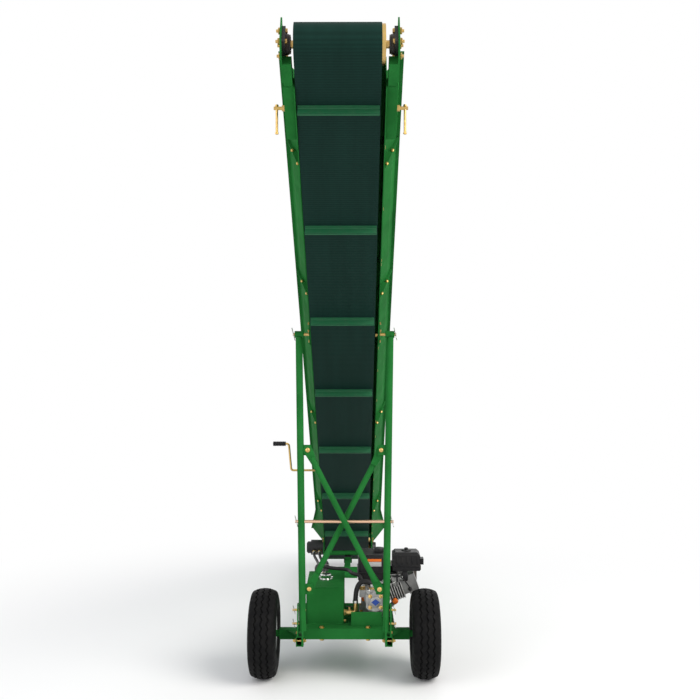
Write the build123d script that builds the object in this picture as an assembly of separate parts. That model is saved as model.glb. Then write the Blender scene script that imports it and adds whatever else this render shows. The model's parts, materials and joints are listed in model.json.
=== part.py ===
from build123d import *
import math
import os

os.makedirs("parts", exist_ok=True)

# Driving dimensions, millimetres and degrees.
# Working frame: y = 0 at the wheel axle, z = 0 on the ground, discharge end towards -Y.
TYRE_D = 458.0
TYRE_W = 146.0
RIM_R = 104.0
WHEEL_X = 418.6
AXLE_Z = TYRE_D / 2
SPINDLE_R = 17.0
SPINDLE_GAP = 0.4
TUBE = 50.0
TUBE_WALL = 4.0
HUB_ROOM = 80.6
AXLE_HALF = WHEEL_X - HUB_ROOM
RAIL_X = 140.0
RAIL_W = 30.0
RAIL_WALL = 3.0
STUB_LEN = 125.0
CROSS_Y = 1395.0
TONGUE_END = 2330.0
TILT = 33.714
DRUM_GAP = 4897.0
TAIL_Y = 2600.0
TAIL_Z = 138.0
DRUM_R = 75.0
TAIL_SHAFT_R = 17.5
HEAD_SHAFT_R = 15.0
BELT_T = 5.0
BELT_W = 326.0
BELT_SIDE = 10.0
DRUM_HALF = BELT_W / 2 + BELT_SIDE / 2
BELT_SHIFT = -8.0
BELT_SAG = 52.0
CLEAT_COUNT = 15
CLEAT_H = 35.0
CLEAT_T = 10.0
CLEAT_LEN = BELT_W - BELT_SIDE
FIRST_CLEAT = 238.0
WEB_IN = BELT_W / 2 + BELT_SIDE
WEB_T = 4.0
WEB_OUT = WEB_IN + WEB_T
WEB_LOW = -100.0
WEB_TOP = 85.0
MAIN_END = DRUM_GAP - 130.0
TAIL_END = -140.0
HOPPER_LEN = 260.0
BOARD_END = DRUM_GAP - 205.0
SHEET = 3.0
LEG_LOW = 52.0
PIN_R = 8.0
BOLT_R = 6.0
PIN_Y = 0.0
PIN_Z = 1787.0
UPRIGHT_R = 18.0
STUB_X = WEB_OUT + 53.0
FOOT_X = STUB_X - 19.0
FOOT_Y = -130.0
TOP_X = WEB_OUT + 60.0
BRACE_R = 15.0
DECK_T = 6.0
GAP = 0.3

AXLE_TOP = AXLE_Z + TUBE / 2
AXLE_LOW = AXLE_Z - TUBE / 2
DECK_Z = AXLE_TOP + DECK_T
CT = math.cos(math.radians(TILT))
ST = math.sin(math.radians(TILT))
CONV = Pos(0, TAIL_Y, TAIL_Z) * Rot(-TILT, 0, 0)
OUT_R = DRUM_R + BELT_T
BOLT_HOLE = BOLT_R + GAP


def span(x0, x1, y0, y1, z0, z1):
    """Box between two corners."""
    mid = Pos((x0 + x1) / 2, (y0 + y1) / 2, (z0 + z1) / 2)
    return mid * Box(abs(x1 - x0), abs(y1 - y0), abs(z1 - z0))


def along(u0, u1, p0, p1, v0, v1):
    """Box in conveyor terms: across, distance from the tail drum, height off the drum plane."""
    return CONV * span(u0, u1, -p1, -p0, v0, v1)


def world(p, v):
    """Working-frame y and z of a point on the conveyor."""
    return TAIL_Y - p * CT + v * ST, TAIL_Z + p * ST + v * CT


def local(y, z):
    """Conveyor p and v of a working-frame point."""
    dy = y - TAIL_Y
    dz = z - TAIL_Z
    return -dy * CT + dz * ST, dy * ST + dz * CT


def rod_x(x0, x1, y, z, r):
    """Round bar along X."""
    return Pos((x0 + x1) / 2, y, z) * Rot(0, 90, 0) * Cylinder(r, abs(x1 - x0))


def rod_y(y0, y1, x, z, r):
    """Round bar along Y."""
    return Pos(x, (y0 + y1) / 2, z) * Rot(90, 0, 0) * Cylinder(r, abs(y1 - y0))


def rod_z(z0, z1, x, y, r):
    """Round bar along Z."""
    return Pos(x, y, (z0 + z1) / 2) * Cylinder(r, abs(z1 - z0))


def conv_rod(u0, u1, p, v, r):
    """Round bar across the conveyor."""
    return CONV * rod_x(u0, u1, -p, v, r)


def bar(a, b, r):
    """Round bar between two points."""
    start = Vector(*a)
    axis = Vector(*b) - start
    return extrude(Plane(origin=start, z_dir=axis) * Circle(r), axis.length)


def profile_run(points, p0, p1):
    """Section in (u, v) run along the conveyor from p0 to p1."""
    face = make_face(Polyline(*points, close=True))
    solid = extrude(Plane(origin=(0, -p0, 0), x_dir=(1, 0, 0), z_dir=(0, -1, 0)) * face, p1 - p0)
    return CONV * solid


def side_plate(points, u0, u1):
    """Plate whose outline is given in (p, v), between two stations across."""
    face = make_face(Polyline(*[(-p, v) for p, v in points], close=True))
    plane = Plane(origin=(u0, 0, 0), x_dir=(0, 1, 0), z_dir=(1, 0, 0))
    return CONV * extrude(plane * face, u1 - u0)


def flat_plate(points, z0, z1):
    """Plate whose outline is given in (x, y), between two heights."""
    face = make_face(Polyline(*points, close=True))
    return Pos(0, 0, z0) * extrude(face, z1 - z0)


def hose(points, radii, r):
    """Round hose on straight runs joined by tangent arcs."""
    path = FilletPolyline(*points, radius=radii)
    start = Plane(origin=path @ 0, z_dir=path % 0)
    return sweep(start * Circle(r), path=path)


def mirror_x(shape):
    """The same piece on the other side."""
    return mirror(shape, about=Plane.YZ)


def pair(shape):
    """A piece and its mirror image."""
    return Compound(children=[shape, mirror_x(shape)])


NODES = {}

# Wheels
TR = TYRE_D / 2
HW = TYRE_W / 2
BEAD_X = HW - 15.0
BEAD_R = RIM_R + GAP
BEAD_TOP = BEAD_R + 6.0
BULGE_R = TR - 72.0
SHOULDER_X = HW - 13.0
SHOULDER_R = TR - 15.0
WELL_R = RIM_R - 10.0
DISC_R = 62.0
HUB_R = 45.0
HUB_END = 52.0
HUB_BACK = 40.0
CAP_T = 6.0
BORE_R = SPINDLE_R + SPINDLE_GAP
SPINDLE_END = WHEEL_X + HUB_END - CAP_T - 2
for side, sign in (("left", -1), ("right", 1)):
    outline = Curve() + [
        Line((-BEAD_X, BEAD_R), (-BEAD_X, BEAD_TOP)),
        ThreePointArc((-BEAD_X, BEAD_TOP), (-HW, BULGE_R), (-SHOULDER_X, SHOULDER_R)),
        ThreePointArc((-SHOULDER_X, SHOULDER_R), (0, TR), (SHOULDER_X, SHOULDER_R)),
        ThreePointArc((SHOULDER_X, SHOULDER_R), (HW, BULGE_R), (BEAD_X, BEAD_TOP)),
        Line((BEAD_X, BEAD_TOP), (BEAD_X, BEAD_R)),
        Line((BEAD_X, BEAD_R), (-BEAD_X, BEAD_R)),
    ]
    tyre = revolve(make_face(outline), Axis.X)
    NODES["tyre_" + side] = Pos(sign * WHEEL_X, 0, TR) * tyre
    rim_lines = [
        (-BEAD_X - 0.5, WELL_R),
        (-BEAD_X - 0.5, RIM_R),
        (BEAD_X - 0.5, RIM_R),
        (BEAD_X - 0.5, WELL_R),
        (20, WELL_R),
        (14, DISC_R),
        (14, HUB_R),
        (HUB_END, HUB_R),
        (HUB_END, 0),
        (HUB_END - CAP_T, 0),
        (HUB_END - CAP_T, BORE_R),
        (-HUB_BACK, BORE_R),
        (-HUB_BACK, HUB_R - 5),
        (6, HUB_R - 5),
        (6, DISC_R),
        (12, WELL_R),
    ]
    rim = revolve(make_face(Polyline(*rim_lines, close=True)), Axis.X)
    if sign < 0:
        rim = mirror_x(rim)
    NODES["rim_" + side] = Pos(sign * WHEEL_X, 0, TR) * rim

# Axle beam and its spindles
axle = span(-AXLE_HALF, AXLE_HALF, -TUBE / 2, TUBE / 2, AXLE_LOW, AXLE_TOP)
bore = TUBE / 2 - TUBE_WALL
plug = AXLE_HALF - 2 * TUBE_WALL
axle -= span(-plug, plug, -bore, bore, AXLE_Z - bore, AXLE_Z + bore)
for start, end in ((-SPINDLE_END, -AXLE_HALF), (AXLE_HALF, SPINDLE_END)):
    axle += rod_x(start, end, 0, AXLE_Z, SPINDLE_R)
NODES["axle"] = axle

# Chassis rails, front stubs, crossmember and tongue
R0 = STUB_X - RAIL_W / 2
R1 = STUB_X + RAIL_W / 2
L0 = RAIL_X - RAIL_W / 2
L1 = RAIL_X + RAIL_W / 2
FACE = TUBE / 2
IN_LOW = AXLE_LOW + RAIL_WALL
IN_TOP = AXLE_TOP - RAIL_WALL
rail = span(L0, L1, FACE, CROSS_Y + FACE, AXLE_LOW, AXLE_TOP)
rail -= span(L0 + RAIL_WALL, L1 - RAIL_WALL, FACE, CROSS_Y + FACE - RAIL_WALL, IN_LOW, IN_TOP)
NODES["chassis_rail_left"] = mirror_x(rail)
NODES["chassis_rail_right"] = rail
stub = span(R0, R1, -FACE - STUB_LEN, -FACE, AXLE_LOW, AXLE_TOP)
stub -= span(R0 + RAIL_WALL, R1 - RAIL_WALL, -FACE - STUB_LEN, -FACE, IN_LOW, IN_TOP)
stub -= rod_x(R0 - 1, R1 + 1, FOOT_Y, AXLE_Z, BOLT_HOLE)
NODES["front_stubs"] = pair(stub)
GUSSET_LEN = 85.0
GUSSET_W = 56.0
stub_gusset = [(R1, -FACE), (R1, -FACE - GUSSET_LEN), (R1 + GUSSET_W, -FACE)]
NODES["stub_gussets"] = pair(flat_plate(stub_gusset, AXLE_TOP - 8, AXLE_TOP - 2))
cross = span(-L0, L0, CROSS_Y - FACE, CROSS_Y + FACE, AXLE_LOW, AXLE_TOP)
cross -= span(-L0 + TUBE_WALL, L0 - TUBE_WALL, CROSS_Y - bore, CROSS_Y + bore, AXLE_Z - bore, AXLE_Z + bore)
NODES["crossmember"] = cross

# Rest tube under the tail with its lugs
REST_P = 300.0
REST_V = -165.0
REST_R = 17.0
rest_y, rest_z = world(REST_P, REST_V)
rest = conv_rod(-WEB_OUT, WEB_OUT, REST_P, REST_V, REST_R)
lug_line = [(REST_P - 45, -40), (REST_P + 45, -40), (REST_P + 28, -192), (REST_P - 28, -192)]
rest += side_plate(lug_line, WEB_OUT, WEB_OUT + 6)
rest += side_plate(lug_line, -WEB_OUT - 6, -WEB_OUT)
NODES["tail_rest"] = rest

# Tongue sloping down from the crossmember to the stand that carries the tail
PAD_T = 8.0
PAD_AIR = 1.0
SADDLE_H = 15.0
TONGUE_H = 40.0
TONGUE_HALF = 20.0
PAD_TOP = rest_z - REST_R - PAD_AIR
TONGUE_Y = CROSS_Y + FACE
TONGUE_Z = AXLE_LOW + TONGUE_H
FALL = (TONGUE_Z - (PAD_TOP - PAD_T - SADDLE_H)) / (rest_y - TONGUE_Y)
TIP_Z = TONGUE_Z - FALL * (TONGUE_END - TONGUE_Y)


def sloped(y1, skin):
    """Bar along the tongue's slope, thinner all round by a skin."""
    drop = FALL * (y1 - TONGUE_Y)
    top = TONGUE_Z - skin
    low = TONGUE_Z - TONGUE_H + skin
    line = [(TONGUE_Y, low), (TONGUE_Y, top), (y1, top - drop), (y1, low - drop)]
    half = TONGUE_HALF - skin
    plane = Plane(origin=(-half, 0, 0), x_dir=(0, 1, 0), z_dir=(1, 0, 0))
    return extrude(plane * make_face(Polyline(*line, close=True)), 2 * half)


beam = sloped(TONGUE_END, 0)
EYE_Z = TIP_Z - TONGUE_H
EYE_T = 20.0
EYE_HALF = 30.0
EYE_R = 12.5
EYE_Y = TONGUE_END + EYE_HALF
eye = span(-EYE_HALF, EYE_HALF, TONGUE_END, TONGUE_END + 2 * EYE_HALF, EYE_Z, EYE_Z + EYE_T)
eye -= rod_z(EYE_Z - 1, EYE_Z + EYE_T + 1, 0, EYE_Y, EYE_R)
NODES["tongue"] = beam - sloped(TONGUE_END - 2 * RAIL_WALL, RAIL_WALL) + eye
FOOT_HALF = 70.0
FOOT_T = 8.0
STAND_HALF = 20.0
stand_y = rest_y - STAND_HALF
leg_low, leg_high = stand_y - STAND_HALF, stand_y + STAND_HALF
stand = span(-STAND_HALF, STAND_HALF, leg_low, leg_high, FOOT_T, EYE_Z + TONGUE_H) - beam
stand += span(-FOOT_HALF, FOOT_HALF, stand_y - FOOT_HALF, stand_y + FOOT_HALF, 0, FOOT_T)
NODES["tail_stand"] = stand
PAD_LOW = PAD_TOP - PAD_T
saddle = span(-TONGUE_HALF, TONGUE_HALF, rest_y - 30, rest_y + 30, PAD_LOW - 2 * SADDLE_H, PAD_LOW)
NODES["rest_post"] = saddle - beam
NODES["rest_pad"] = span(-24, 24, rest_y - 32, rest_y + 32, PAD_LOW, PAD_TOP)

# Uprights: tubes with flattened feet, top sleeves and brace brackets
LEAN = math.degrees(math.atan2(PIN_Y - FOOT_Y, PIN_Z - AXLE_Z))
UP_LEN = math.hypot(PIN_Y - FOOT_Y, PIN_Z - AXLE_Z)
UPR = Pos(0, FOOT_Y, AXLE_Z) * Rot(-LEAN, 0, 0)
UPPER_S = 965.0
LOWER_S = 259.0
ROD_S = 600.0


def upright_x(s):
    """Distance of the upright's axis from the middle at height s along it."""
    return FOOT_X + (TOP_X - FOOT_X) * s / UP_LEN


TUBE_FOOT = AXLE_TOP - AXLE_Z + 24
upright = bar((upright_x(TUBE_FOOT), 0, TUBE_FOOT), (upright_x(UP_LEN - 14), 0, UP_LEN - 14), UPRIGHT_R)
upright -= bar((upright_x(TUBE_FOOT + 90), 0, TUBE_FOOT + 90), (TOP_X, 0, UP_LEN), UPRIGHT_R - 3)
upright += rod_x(TOP_X - 25, TOP_X + 22, 0, UP_LEN, 18)
upright -= rod_x(TOP_X - 26, TOP_X + 23, 0, UP_LEN, PIN_R + GAP)
upright += span(R0 - 8, R0, -25, 25, -26, TUBE_FOOT + 60)
upright -= rod_x(R0 - 9, R0 + 1, 0, 0, BOLT_HOLE)
# Brace brackets: height along the upright, reach towards the middle
BRACKETS = ((UPPER_S, 38.0), (LOWER_S, 36.0))
BOLT_X = {}
for station, reach in BRACKETS:
    edge = upright_x(station) - UPRIGHT_R
    upright += span(edge - reach, edge + 6, -3, 3, station - 27, station + 27)
    BOLT_X[station] = edge - reach + 18
upright -= rod_x(TOP_X - 60, TOP_X + 20, 0, ROD_S, PIN_R + GAP)
LOCK_S = (86.0, 154.0)
for station in LOCK_S:
    upright -= rod_x(FOOT_X - 40, FOOT_X + 40, 0, station, BOLT_HOLE)
NODES["upright_left"] = UPR * mirror_x(upright)
NODES["upright_right"] = UPR * upright

# Crossed braces: name, side of the upper end, side of the brackets it lies on
BRACES = (("brace_front", -1, -1), ("brace_rear", 1, 1))
TAB_R = 24.0
TAB_LEN = 86.0
for name, top_side, depth in BRACES:
    a = Vector(top_side * BOLT_X[UPPER_S], 0, UPPER_S)
    b = Vector(-top_side * BOLT_X[LOWER_S], 0, LOWER_S)
    run = (b - a).length
    frame = Plane(origin=a, x_dir=(b - a), z_dir=(0, depth, 0))
    piece = Plane(origin=frame.from_local_coords((45, 0, BRACE_R + 9.5)), z_dir=(b - a)) * Circle(BRACE_R)
    piece = extrude(piece, run - 90)
    for bolt, toward in ((0.0, 1), (run, -1)):
        far = bolt + toward * TAB_LEN
        taper = [(bolt, -TAB_R), (bolt, TAB_R), (far, BRACE_R), (far, -BRACE_R)]
        tab = Pos(bolt, 0) * Circle(TAB_R) + make_face(Polyline(*taper, close=True))
        piece += extrude(frame.offset(3) * tab, 8)
    for side in (-1, 1):
        foot = (side * upright_x(0), 0, 0)
        piece -= bar(foot, (side * upright_x(UP_LEN), 0, UP_LEN), UPRIGHT_R + 1.5)
    NODES[name] = UPR * piece

# Tie rod, top pins, lock posts and lock pins
ROD_END = STUB_X + 22
NODES["tie_rod"] = UPR * rod_x(-ROD_END, ROD_END, 0, ROD_S, PIN_R)
pin = rod_x(WEB_IN - 13, TOP_X + 32, PIN_Y, PIN_Z, PIN_R)
pin += rod_x(WEB_IN - 13, WEB_IN - 5, PIN_Y, PIN_Z, PIN_R + 5)
NODES["top_pins"] = pair(pin)
P0 = STUB_X + 3.5
P1 = P0 + 6
post = UPR * span(P0, P1, -22, 22, AXLE_TOP - AXLE_Z + 2, 185)
post -= span(P0 - 10, P1 + 10, -400, 100, 0, AXLE_TOP)
lock_pins = []
for station in LOCK_S:
    post -= UPR * rod_x(P0 - 10, P1 + 10, 0, station, BOLT_HOLE)
    lock_pins.append(UPR * rod_x(STUB_X - 34, STUB_X + 34, 0, station, BOLT_R))
NODES["lock_posts"] = pair(post + span(P0, P1, FOOT_Y - 20, FOOT_Y + 24, AXLE_TOP, AXLE_TOP + 12))
NODES["lock_pins"] = Compound(children=lock_pins + [mirror_x(p) for p in lock_pins])
NODES["foot_bolts"] = pair(rod_x(R0 - 22, R1 + 16, FOOT_Y, AXLE_Z, BOLT_R))

# Deck over the axle and rails
DECK_END = 480.0
deck = span(-R1, R1 + 17, -FACE, DECK_END, AXLE_TOP, DECK_Z)
deck += span(34, 195, 20, 26, DECK_Z, DECK_Z + 74)
NODES["engine_deck"] = deck

# Hydraulic tank
TANK_LEFT = -203.0
TANK_RIGHT = -4.0
TANK_FRONT = 63.0
TANK_BACK = 437.0
TANK_TOP = DECK_Z + 192
tank = span(TANK_LEFT, TANK_RIGHT, TANK_FRONT, TANK_BACK, DECK_Z, TANK_TOP)
NODES["hydraulic_tank"] = fillet(tank.edges().filter_by(Axis.Z), 10)
FILTER_X = -105.0
FILTER_Y = 245.0
FILTER_PORT = TANK_TOP + 16
filt = rod_z(TANK_TOP, TANK_TOP + 6, FILTER_X, FILTER_Y, 34)
filt += rod_z(TANK_TOP + 6, TANK_TOP + 30, FILTER_X, FILTER_Y, 28)
filt += rod_y(FILTER_Y, FILTER_Y + 47, FILTER_X - 15, FILTER_PORT, 9)
NODES["return_filter"] = filt

# Engine on its mount bars: crankcase, slanted finned cylinder, housings
CRANK_X = 162.0
MOUNT_H = 19.0
CRANK_Z = DECK_Z + MOUNT_H + 106
SUMP_H = MOUNT_H + 12
CASE_H = 182.0
FUEL_Z = DECK_Z + CASE_H + 14
AIR_Z = DECK_Z + 249
CASE_FRONT = 196.0
CASE_BACK = 340.0
# Mount bars, sump flange, crankcase and fuel tank brackets: x0, x1, y0, y1, z0 and z1 above the deck
ENGINE_BOXES = (
    (75, 245, 195, 225, 0, MOUNT_H),
    (75, 245, 305, 335, 0, MOUNT_H),
    (75, 245, 185, 345, MOUNT_H, SUMP_H),
    (88, 232, CASE_FRONT, CASE_BACK, SUMP_H, CASE_H),
    (92, 116, 205, 330, CASE_H, FUEL_Z - DECK_Z),
    (186, 210, 205, 330, CASE_H, FUEL_Z - DECK_Z),
)
block = rod_y(150, CASE_FRONT, CRANK_X, CRANK_Z, 62)
for x0, x1, y0, y1, z0, z1 in ENGINE_BOXES:
    block += span(x0, x1, y0, y1, DECK_Z + z0, DECK_Z + z1)
SLANT = 20.0
FIN_COUNT = 7
FIN_PITCH = 13.0
FIN_T = 5.0
FIRST_FIN = 62.0
CYL = Pos(CRANK_X + 15, 268, CRANK_Z - 14) * Rot(0, 90 - SLANT, 0)
cyl = Pos(0, 0, 95) * Box(92, 100, 150)
for i in range(FIN_COUNT):
    cyl += Pos(0, 0, FIRST_FIN + FIN_PITCH * i) * Box(118, 128, FIN_T)
HEAD_Z = 182.0
HEAD_T = 26.0
cyl += Pos(0, 0, HEAD_Z) * Box(104, 108, HEAD_T)
block += CYL * cyl
block += bar((228, 205, CRANK_Z - 84), (268, 190, CRANK_Z - 42), 12)
block += rod_z(CRANK_Z + 30, AIR_Z, 300, 262, 24)
block += rod_y(300, 396, 330, DECK_Z + 194, 16)
NODES["engine_block"] = block
COVER_T = 30.0
NODES["valve_cover"] = CYL * Pos(0, 0, HEAD_Z + HEAD_T / 2 + COVER_T / 2) * Box(92, 92, COVER_T)
SHROUD_R = FUEL_Z - CRANK_Z - 3
shroud = rod_y(CASE_BACK, 420, CRANK_X, CRANK_Z, SHROUD_R)
shroud += span(226, 308, CASE_BACK, 392, CRANK_Z - 40, AIR_Z - 4)
shroud += rod_y(420, 446, CRANK_X, CRANK_Z, SHROUD_R - 12)
NODES["engine_shroud"] = shroud
FUEL_H = 138.0
fuel = span(71, 222, 190, 400, FUEL_Z, FUEL_Z + FUEL_H)
fuel = fillet(fuel.edges().filter_by(Axis.Z), 22)
fuel = chamfer(fuel.faces().sort_by(Axis.Z)[-1].edges(), 12)
fuel += rod_z(FUEL_Z + FUEL_H, FUEL_Z + FUEL_H + 18, 186, 290, 28)
NODES["fuel_tank"] = fuel
AIR_H = 98.0
air = span(258, 407, 196, 326, AIR_Z, AIR_Z + AIR_H)
air = chamfer(air.faces().sort_by(Axis.Z)[-1].edges(), 16)
air += rod_z(AIR_Z + AIR_H, AIR_Z + AIR_H + 12, 334, 262, 7)
air += span(400, 428, 236, 288, AIR_Z + 26, AIR_Z + 58)
NODES["air_cleaner"] = air
muffler = span(250, 400, 396, 476, DECK_Z + 140, DECK_Z + 250)
muffler = fillet(muffler.edges().filter_by(Axis.X), 22)
NODES["muffler"] = muffler

# Hydraulic pump on its adapter
pump = rod_y(112, 150, CRANK_X, CRANK_Z, 56)
face = Plane(origin=(CRANK_X, 112, CRANK_Z), x_dir=(1, 0, 0), z_dir=(0, -1, 0))
PUMP_W = 100.0
PUMP_H = 116.0
PUMP_LEN = 72.0
pump += extrude(face * make_face(chamfer(Rectangle(PUMP_W, PUMP_H).vertices(), 24)), PUMP_LEN)
SUCK_X = CRANK_X - 18
SUCK_Y = 80.0
SUCK_Z = CRANK_Z + PUMP_H / 2 + 10
PRESS_X0 = 92.0
PRESS_Y0 = 134.0
PRESS_TOP = CRANK_Z + 58
pump += rod_z(CRANK_Z + PUMP_H / 2, SUCK_Z, SUCK_X, SUCK_Y, 16)
pump += span(78, 114, 116, 150, CRANK_Z + 2, CRANK_Z + 40)
pump += rod_z(CRANK_Z + 40, PRESS_TOP, PRESS_X0, PRESS_Y0, 11)
NODES["hydraulic_pump"] = pump

# Conveyor side frames
PIN_P, PIN_V = local(PIN_Y, PIN_Z)
WINCH_P = 1410.0
WINCH_V = -30.0
CRANK_R = 7.0
web_line = [
    (TAIL_END, -45),
    (-20, WEB_LOW),
    (MAIN_END, WEB_LOW),
    (MAIN_END, WEB_TOP),
    (TAIL_END, WEB_TOP),
]
web = side_plate(web_line, WEB_IN, WEB_OUT)
pad_line = [(PIN_P - 60, -98), (PIN_P + 60, -98), (PIN_P + 60, -20), (PIN_P - 60, -20)]
web += side_plate(pad_line, WEB_OUT, WEB_OUT + 6)
web -= conv_rod(WEB_IN - 1, WEB_OUT + 8, PIN_P, PIN_V, PIN_R + GAP)
web -= conv_rod(WEB_IN - 1, WEB_OUT + 8, 0, 0, 22)
NODES["side_frame_right"] = web
crank_hole = conv_rod(-WEB_OUT - 8, -WEB_IN + 1, WINCH_P, WINCH_V, CRANK_R + GAP)
NODES["side_frame_left"] = mirror_x(web) - crank_hole

# Flared sideboards, hopper sides and hopper back
LEG = WEB_OUT
board = [
    (LEG + SHEET, LEG_LOW),
    (LEG + SHEET, 84),
    (LEG + 41.5, 148),
    (LEG + 60, 202),
    (LEG + 75, 202),
    (LEG + 75, 205),
    (LEG + 57.8, 205),
    (LEG + 38.6, 149.3),
    (LEG, 85.5),
    (LEG, LEG_LOW),
]
flare = [
    (LEG + SHEET, LEG_LOW),
    (LEG + SHEET, 84),
    (LEG + 55, 150),
    (LEG + 107, 219),
    (LEG + 122, 219),
    (LEG + 122, 222),
    (LEG + 105.3, 222),
    (LEG + 52.4, 151.4),
    (LEG, 85.5),
    (LEG, LEG_LOW),
]
right_board = profile_run(board, HOPPER_LEN, BOARD_END)
NODES["sideboard_right"] = right_board
NODES["sideboard_left"] = mirror_x(right_board)
sections = []
for line, p in ((flare, TAIL_END), (board, HOPPER_LEN - 1)):
    across = Plane(origin=(0, -p, 0), x_dir=(1, 0, 0), z_dir=(0, -1, 0))
    sections.append(across * make_face(Polyline(*line, close=True)))
right_hop = CONV * loft(sections, ruled=True)
NODES["hopper_side_right"] = right_hop
NODES["hopper_side_left"] = mirror_x(right_hop)
back = [(LEG, -40), (LEG, 85.5), (LEG + 52.4, 151.4), (LEG + 105.3, 222)]
back_line = back + [(-u, v) for u, v in reversed(back)]
NODES["hopper_back"] = profile_run(back_line, TAIL_END - 5, TAIL_END)

# Sideboard brackets
gusset = [
    (LEG, -10),
    (LEG, LEG_LOW - 0.5),
    (LEG + 3.5, LEG_LOW - 0.5),
    (LEG + 3.5, 83.5),
    (LEG + 42, 147.6),
    (LEG + 60.6, 201.5),
    (LEG + 69, 201.5),
    (LEG + 69, 190),
]
BRACKET_P = (4220.0, 3280.0, 1928.0, 600.0)
brackets = []
for station in BRACKET_P:
    one = profile_run(gusset, station, station + 5)
    brackets += [one, mirror_x(one)]
NODES["board_brackets"] = Compound(children=brackets)

# Slider bed and its cross tubes
NODES["slider_bed"] = along(-WEB_IN, WEB_IN, 115, MAIN_END, 68, 71)
TIE_P = (300.0, 1100.0, 1928.0, 2756.0, 3500.0, 4300.0)
NODES["cross_tubes"] = Compound(children=[along(-WEB_IN, WEB_IN, p, p + 40, 38, 68) for p in TIE_P])

# Drums, bearings and drive motor
tail_drum = conv_rod(-DRUM_HALF, DRUM_HALF, 0, 0, DRUM_R)
tail_drum += conv_rod(-WEB_OUT - 9, WEB_OUT + 35, 0, 0, TAIL_SHAFT_R)
NODES["tail_drum"] = tail_drum
head_drum = conv_rod(-DRUM_HALF, DRUM_HALF, DRUM_GAP, 0, DRUM_R)
head_drum += conv_rod(-WEB_OUT - 34, WEB_OUT + 34, DRUM_GAP, 0, HEAD_SHAFT_R)
NODES["head_drum"] = head_drum
tail_bearing = along(WEB_OUT, WEB_OUT + 14, -48, 48, -48, 48)
tail_bearing += conv_rod(WEB_OUT + 14, WEB_OUT + 38, 0, 0, 38)
tail_bearing -= conv_rod(WEB_OUT - 1, WEB_OUT + 39, 0, 0, TAIL_SHAFT_R + GAP)
NODES["tail_bearing"] = tail_bearing
MOTOR_R = 58.0
motor = along(-WEB_OUT - 12, -WEB_OUT, -50, 50, -50, 50)
motor += conv_rod(-WEB_OUT - 112, -WEB_OUT - 12, 0, 0, MOTOR_R)
motor += conv_rod(-WEB_OUT - 138, -WEB_OUT - 112, 0, 0, 46)
motor -= conv_rod(-WEB_OUT - 10, -WEB_OUT + 1, 0, 0, TAIL_SHAFT_R + 0.5)
PORT_Z = TAIL_Z - 22
PORT_Y = TAIL_Y - MOTOR_R - 26
BACK_X = -WEB_OUT - 42
PRESS_X = -WEB_OUT - 84
motor += rod_y(PORT_Y, TAIL_Y, BACK_X, PORT_Z, 12)
motor += rod_y(PORT_Y, TAIL_Y, PRESS_X, PORT_Z, 12)
NODES["drive_motor"] = motor

# Belt loop with its cleats: straight carrying run, sagging return run
HALF = DRUM_GAP / 2
ARC_R = (HALF**2 + BELT_SAG**2) / (2 * BELT_SAG)
ARC_V = math.sqrt(ARC_R**2 - HALF**2)
DIP = math.asin(HALF / ARC_R)


def loop_wire(r):
    """Belt outline at distance r from the drum axes, in (p, v)."""
    tail_foot = (-r * math.sin(DIP), -r * math.cos(DIP))
    head_foot = (DRUM_GAP + r * math.sin(DIP), -r * math.cos(DIP))
    bottom = (HALF, ARC_V - ARC_R - r)
    side = math.radians(180 - math.degrees(DIP) / 2)
    tail_mid = (r * math.cos(side), r * math.sin(side))
    head_mid = (DRUM_GAP - r * math.cos(side), r * math.sin(side))
    return Curve() + [
        Line((0, r), (DRUM_GAP, r)),
        ThreePointArc((DRUM_GAP, r), head_mid, head_foot),
        ThreePointArc(head_foot, bottom, tail_foot),
        ThreePointArc(tail_foot, tail_mid, (0, r)),
    ]


across = Plane(origin=(-BELT_W / 2 + BELT_SHIFT, 0, 0), x_dir=(0, -1, 0), z_dir=(-1, 0, 0))
outer = extrude(across * make_face(loop_wire(OUT_R)), -BELT_W)
inner = extrude(across * make_face(loop_wire(DRUM_R)), -BELT_W)
belt = outer - inner
MID_R = DRUM_R + BELT_T / 2
RETURN = 2 * DIP * (ARC_R + MID_R)
LOOP = DRUM_GAP + RETURN + 2 * math.pi * MID_R
PITCH = LOOP / CLEAT_COUNT
for i in range(CLEAT_COUNT):
    run = FIRST_CLEAT + i * PITCH
    if run < RETURN:
        turn = DIP - run / RETURN * 2 * DIP
        radius = ARC_R + OUT_R - 2
        p = HALF + radius * math.sin(turn)
        v = ARC_V - radius * math.cos(turn)
        angle = 180 - math.degrees(turn)
    elif run < RETURN + math.pi * MID_R:
        turn = (run - RETURN) / MID_R
        p = -(OUT_R - 2) * math.sin(turn)
        v = -(OUT_R - 2) * math.cos(turn)
        angle = 180 + math.degrees(turn)
    else:
        p = run - RETURN - math.pi * MID_R
        v = OUT_R - 2
        angle = 0.0
    rib = Pos(0, 0, (CLEAT_H + 2) / 2) * Box(CLEAT_LEN, CLEAT_T, CLEAT_H + 2)
    rib += Pos(0, 0, 3) * Box(CLEAT_LEN, 34, 6)
    belt += Pos(BELT_SHIFT, -p, v) * Rot(angle, 0, 0) * rib
NODES["belt"] = CONV * belt

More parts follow.
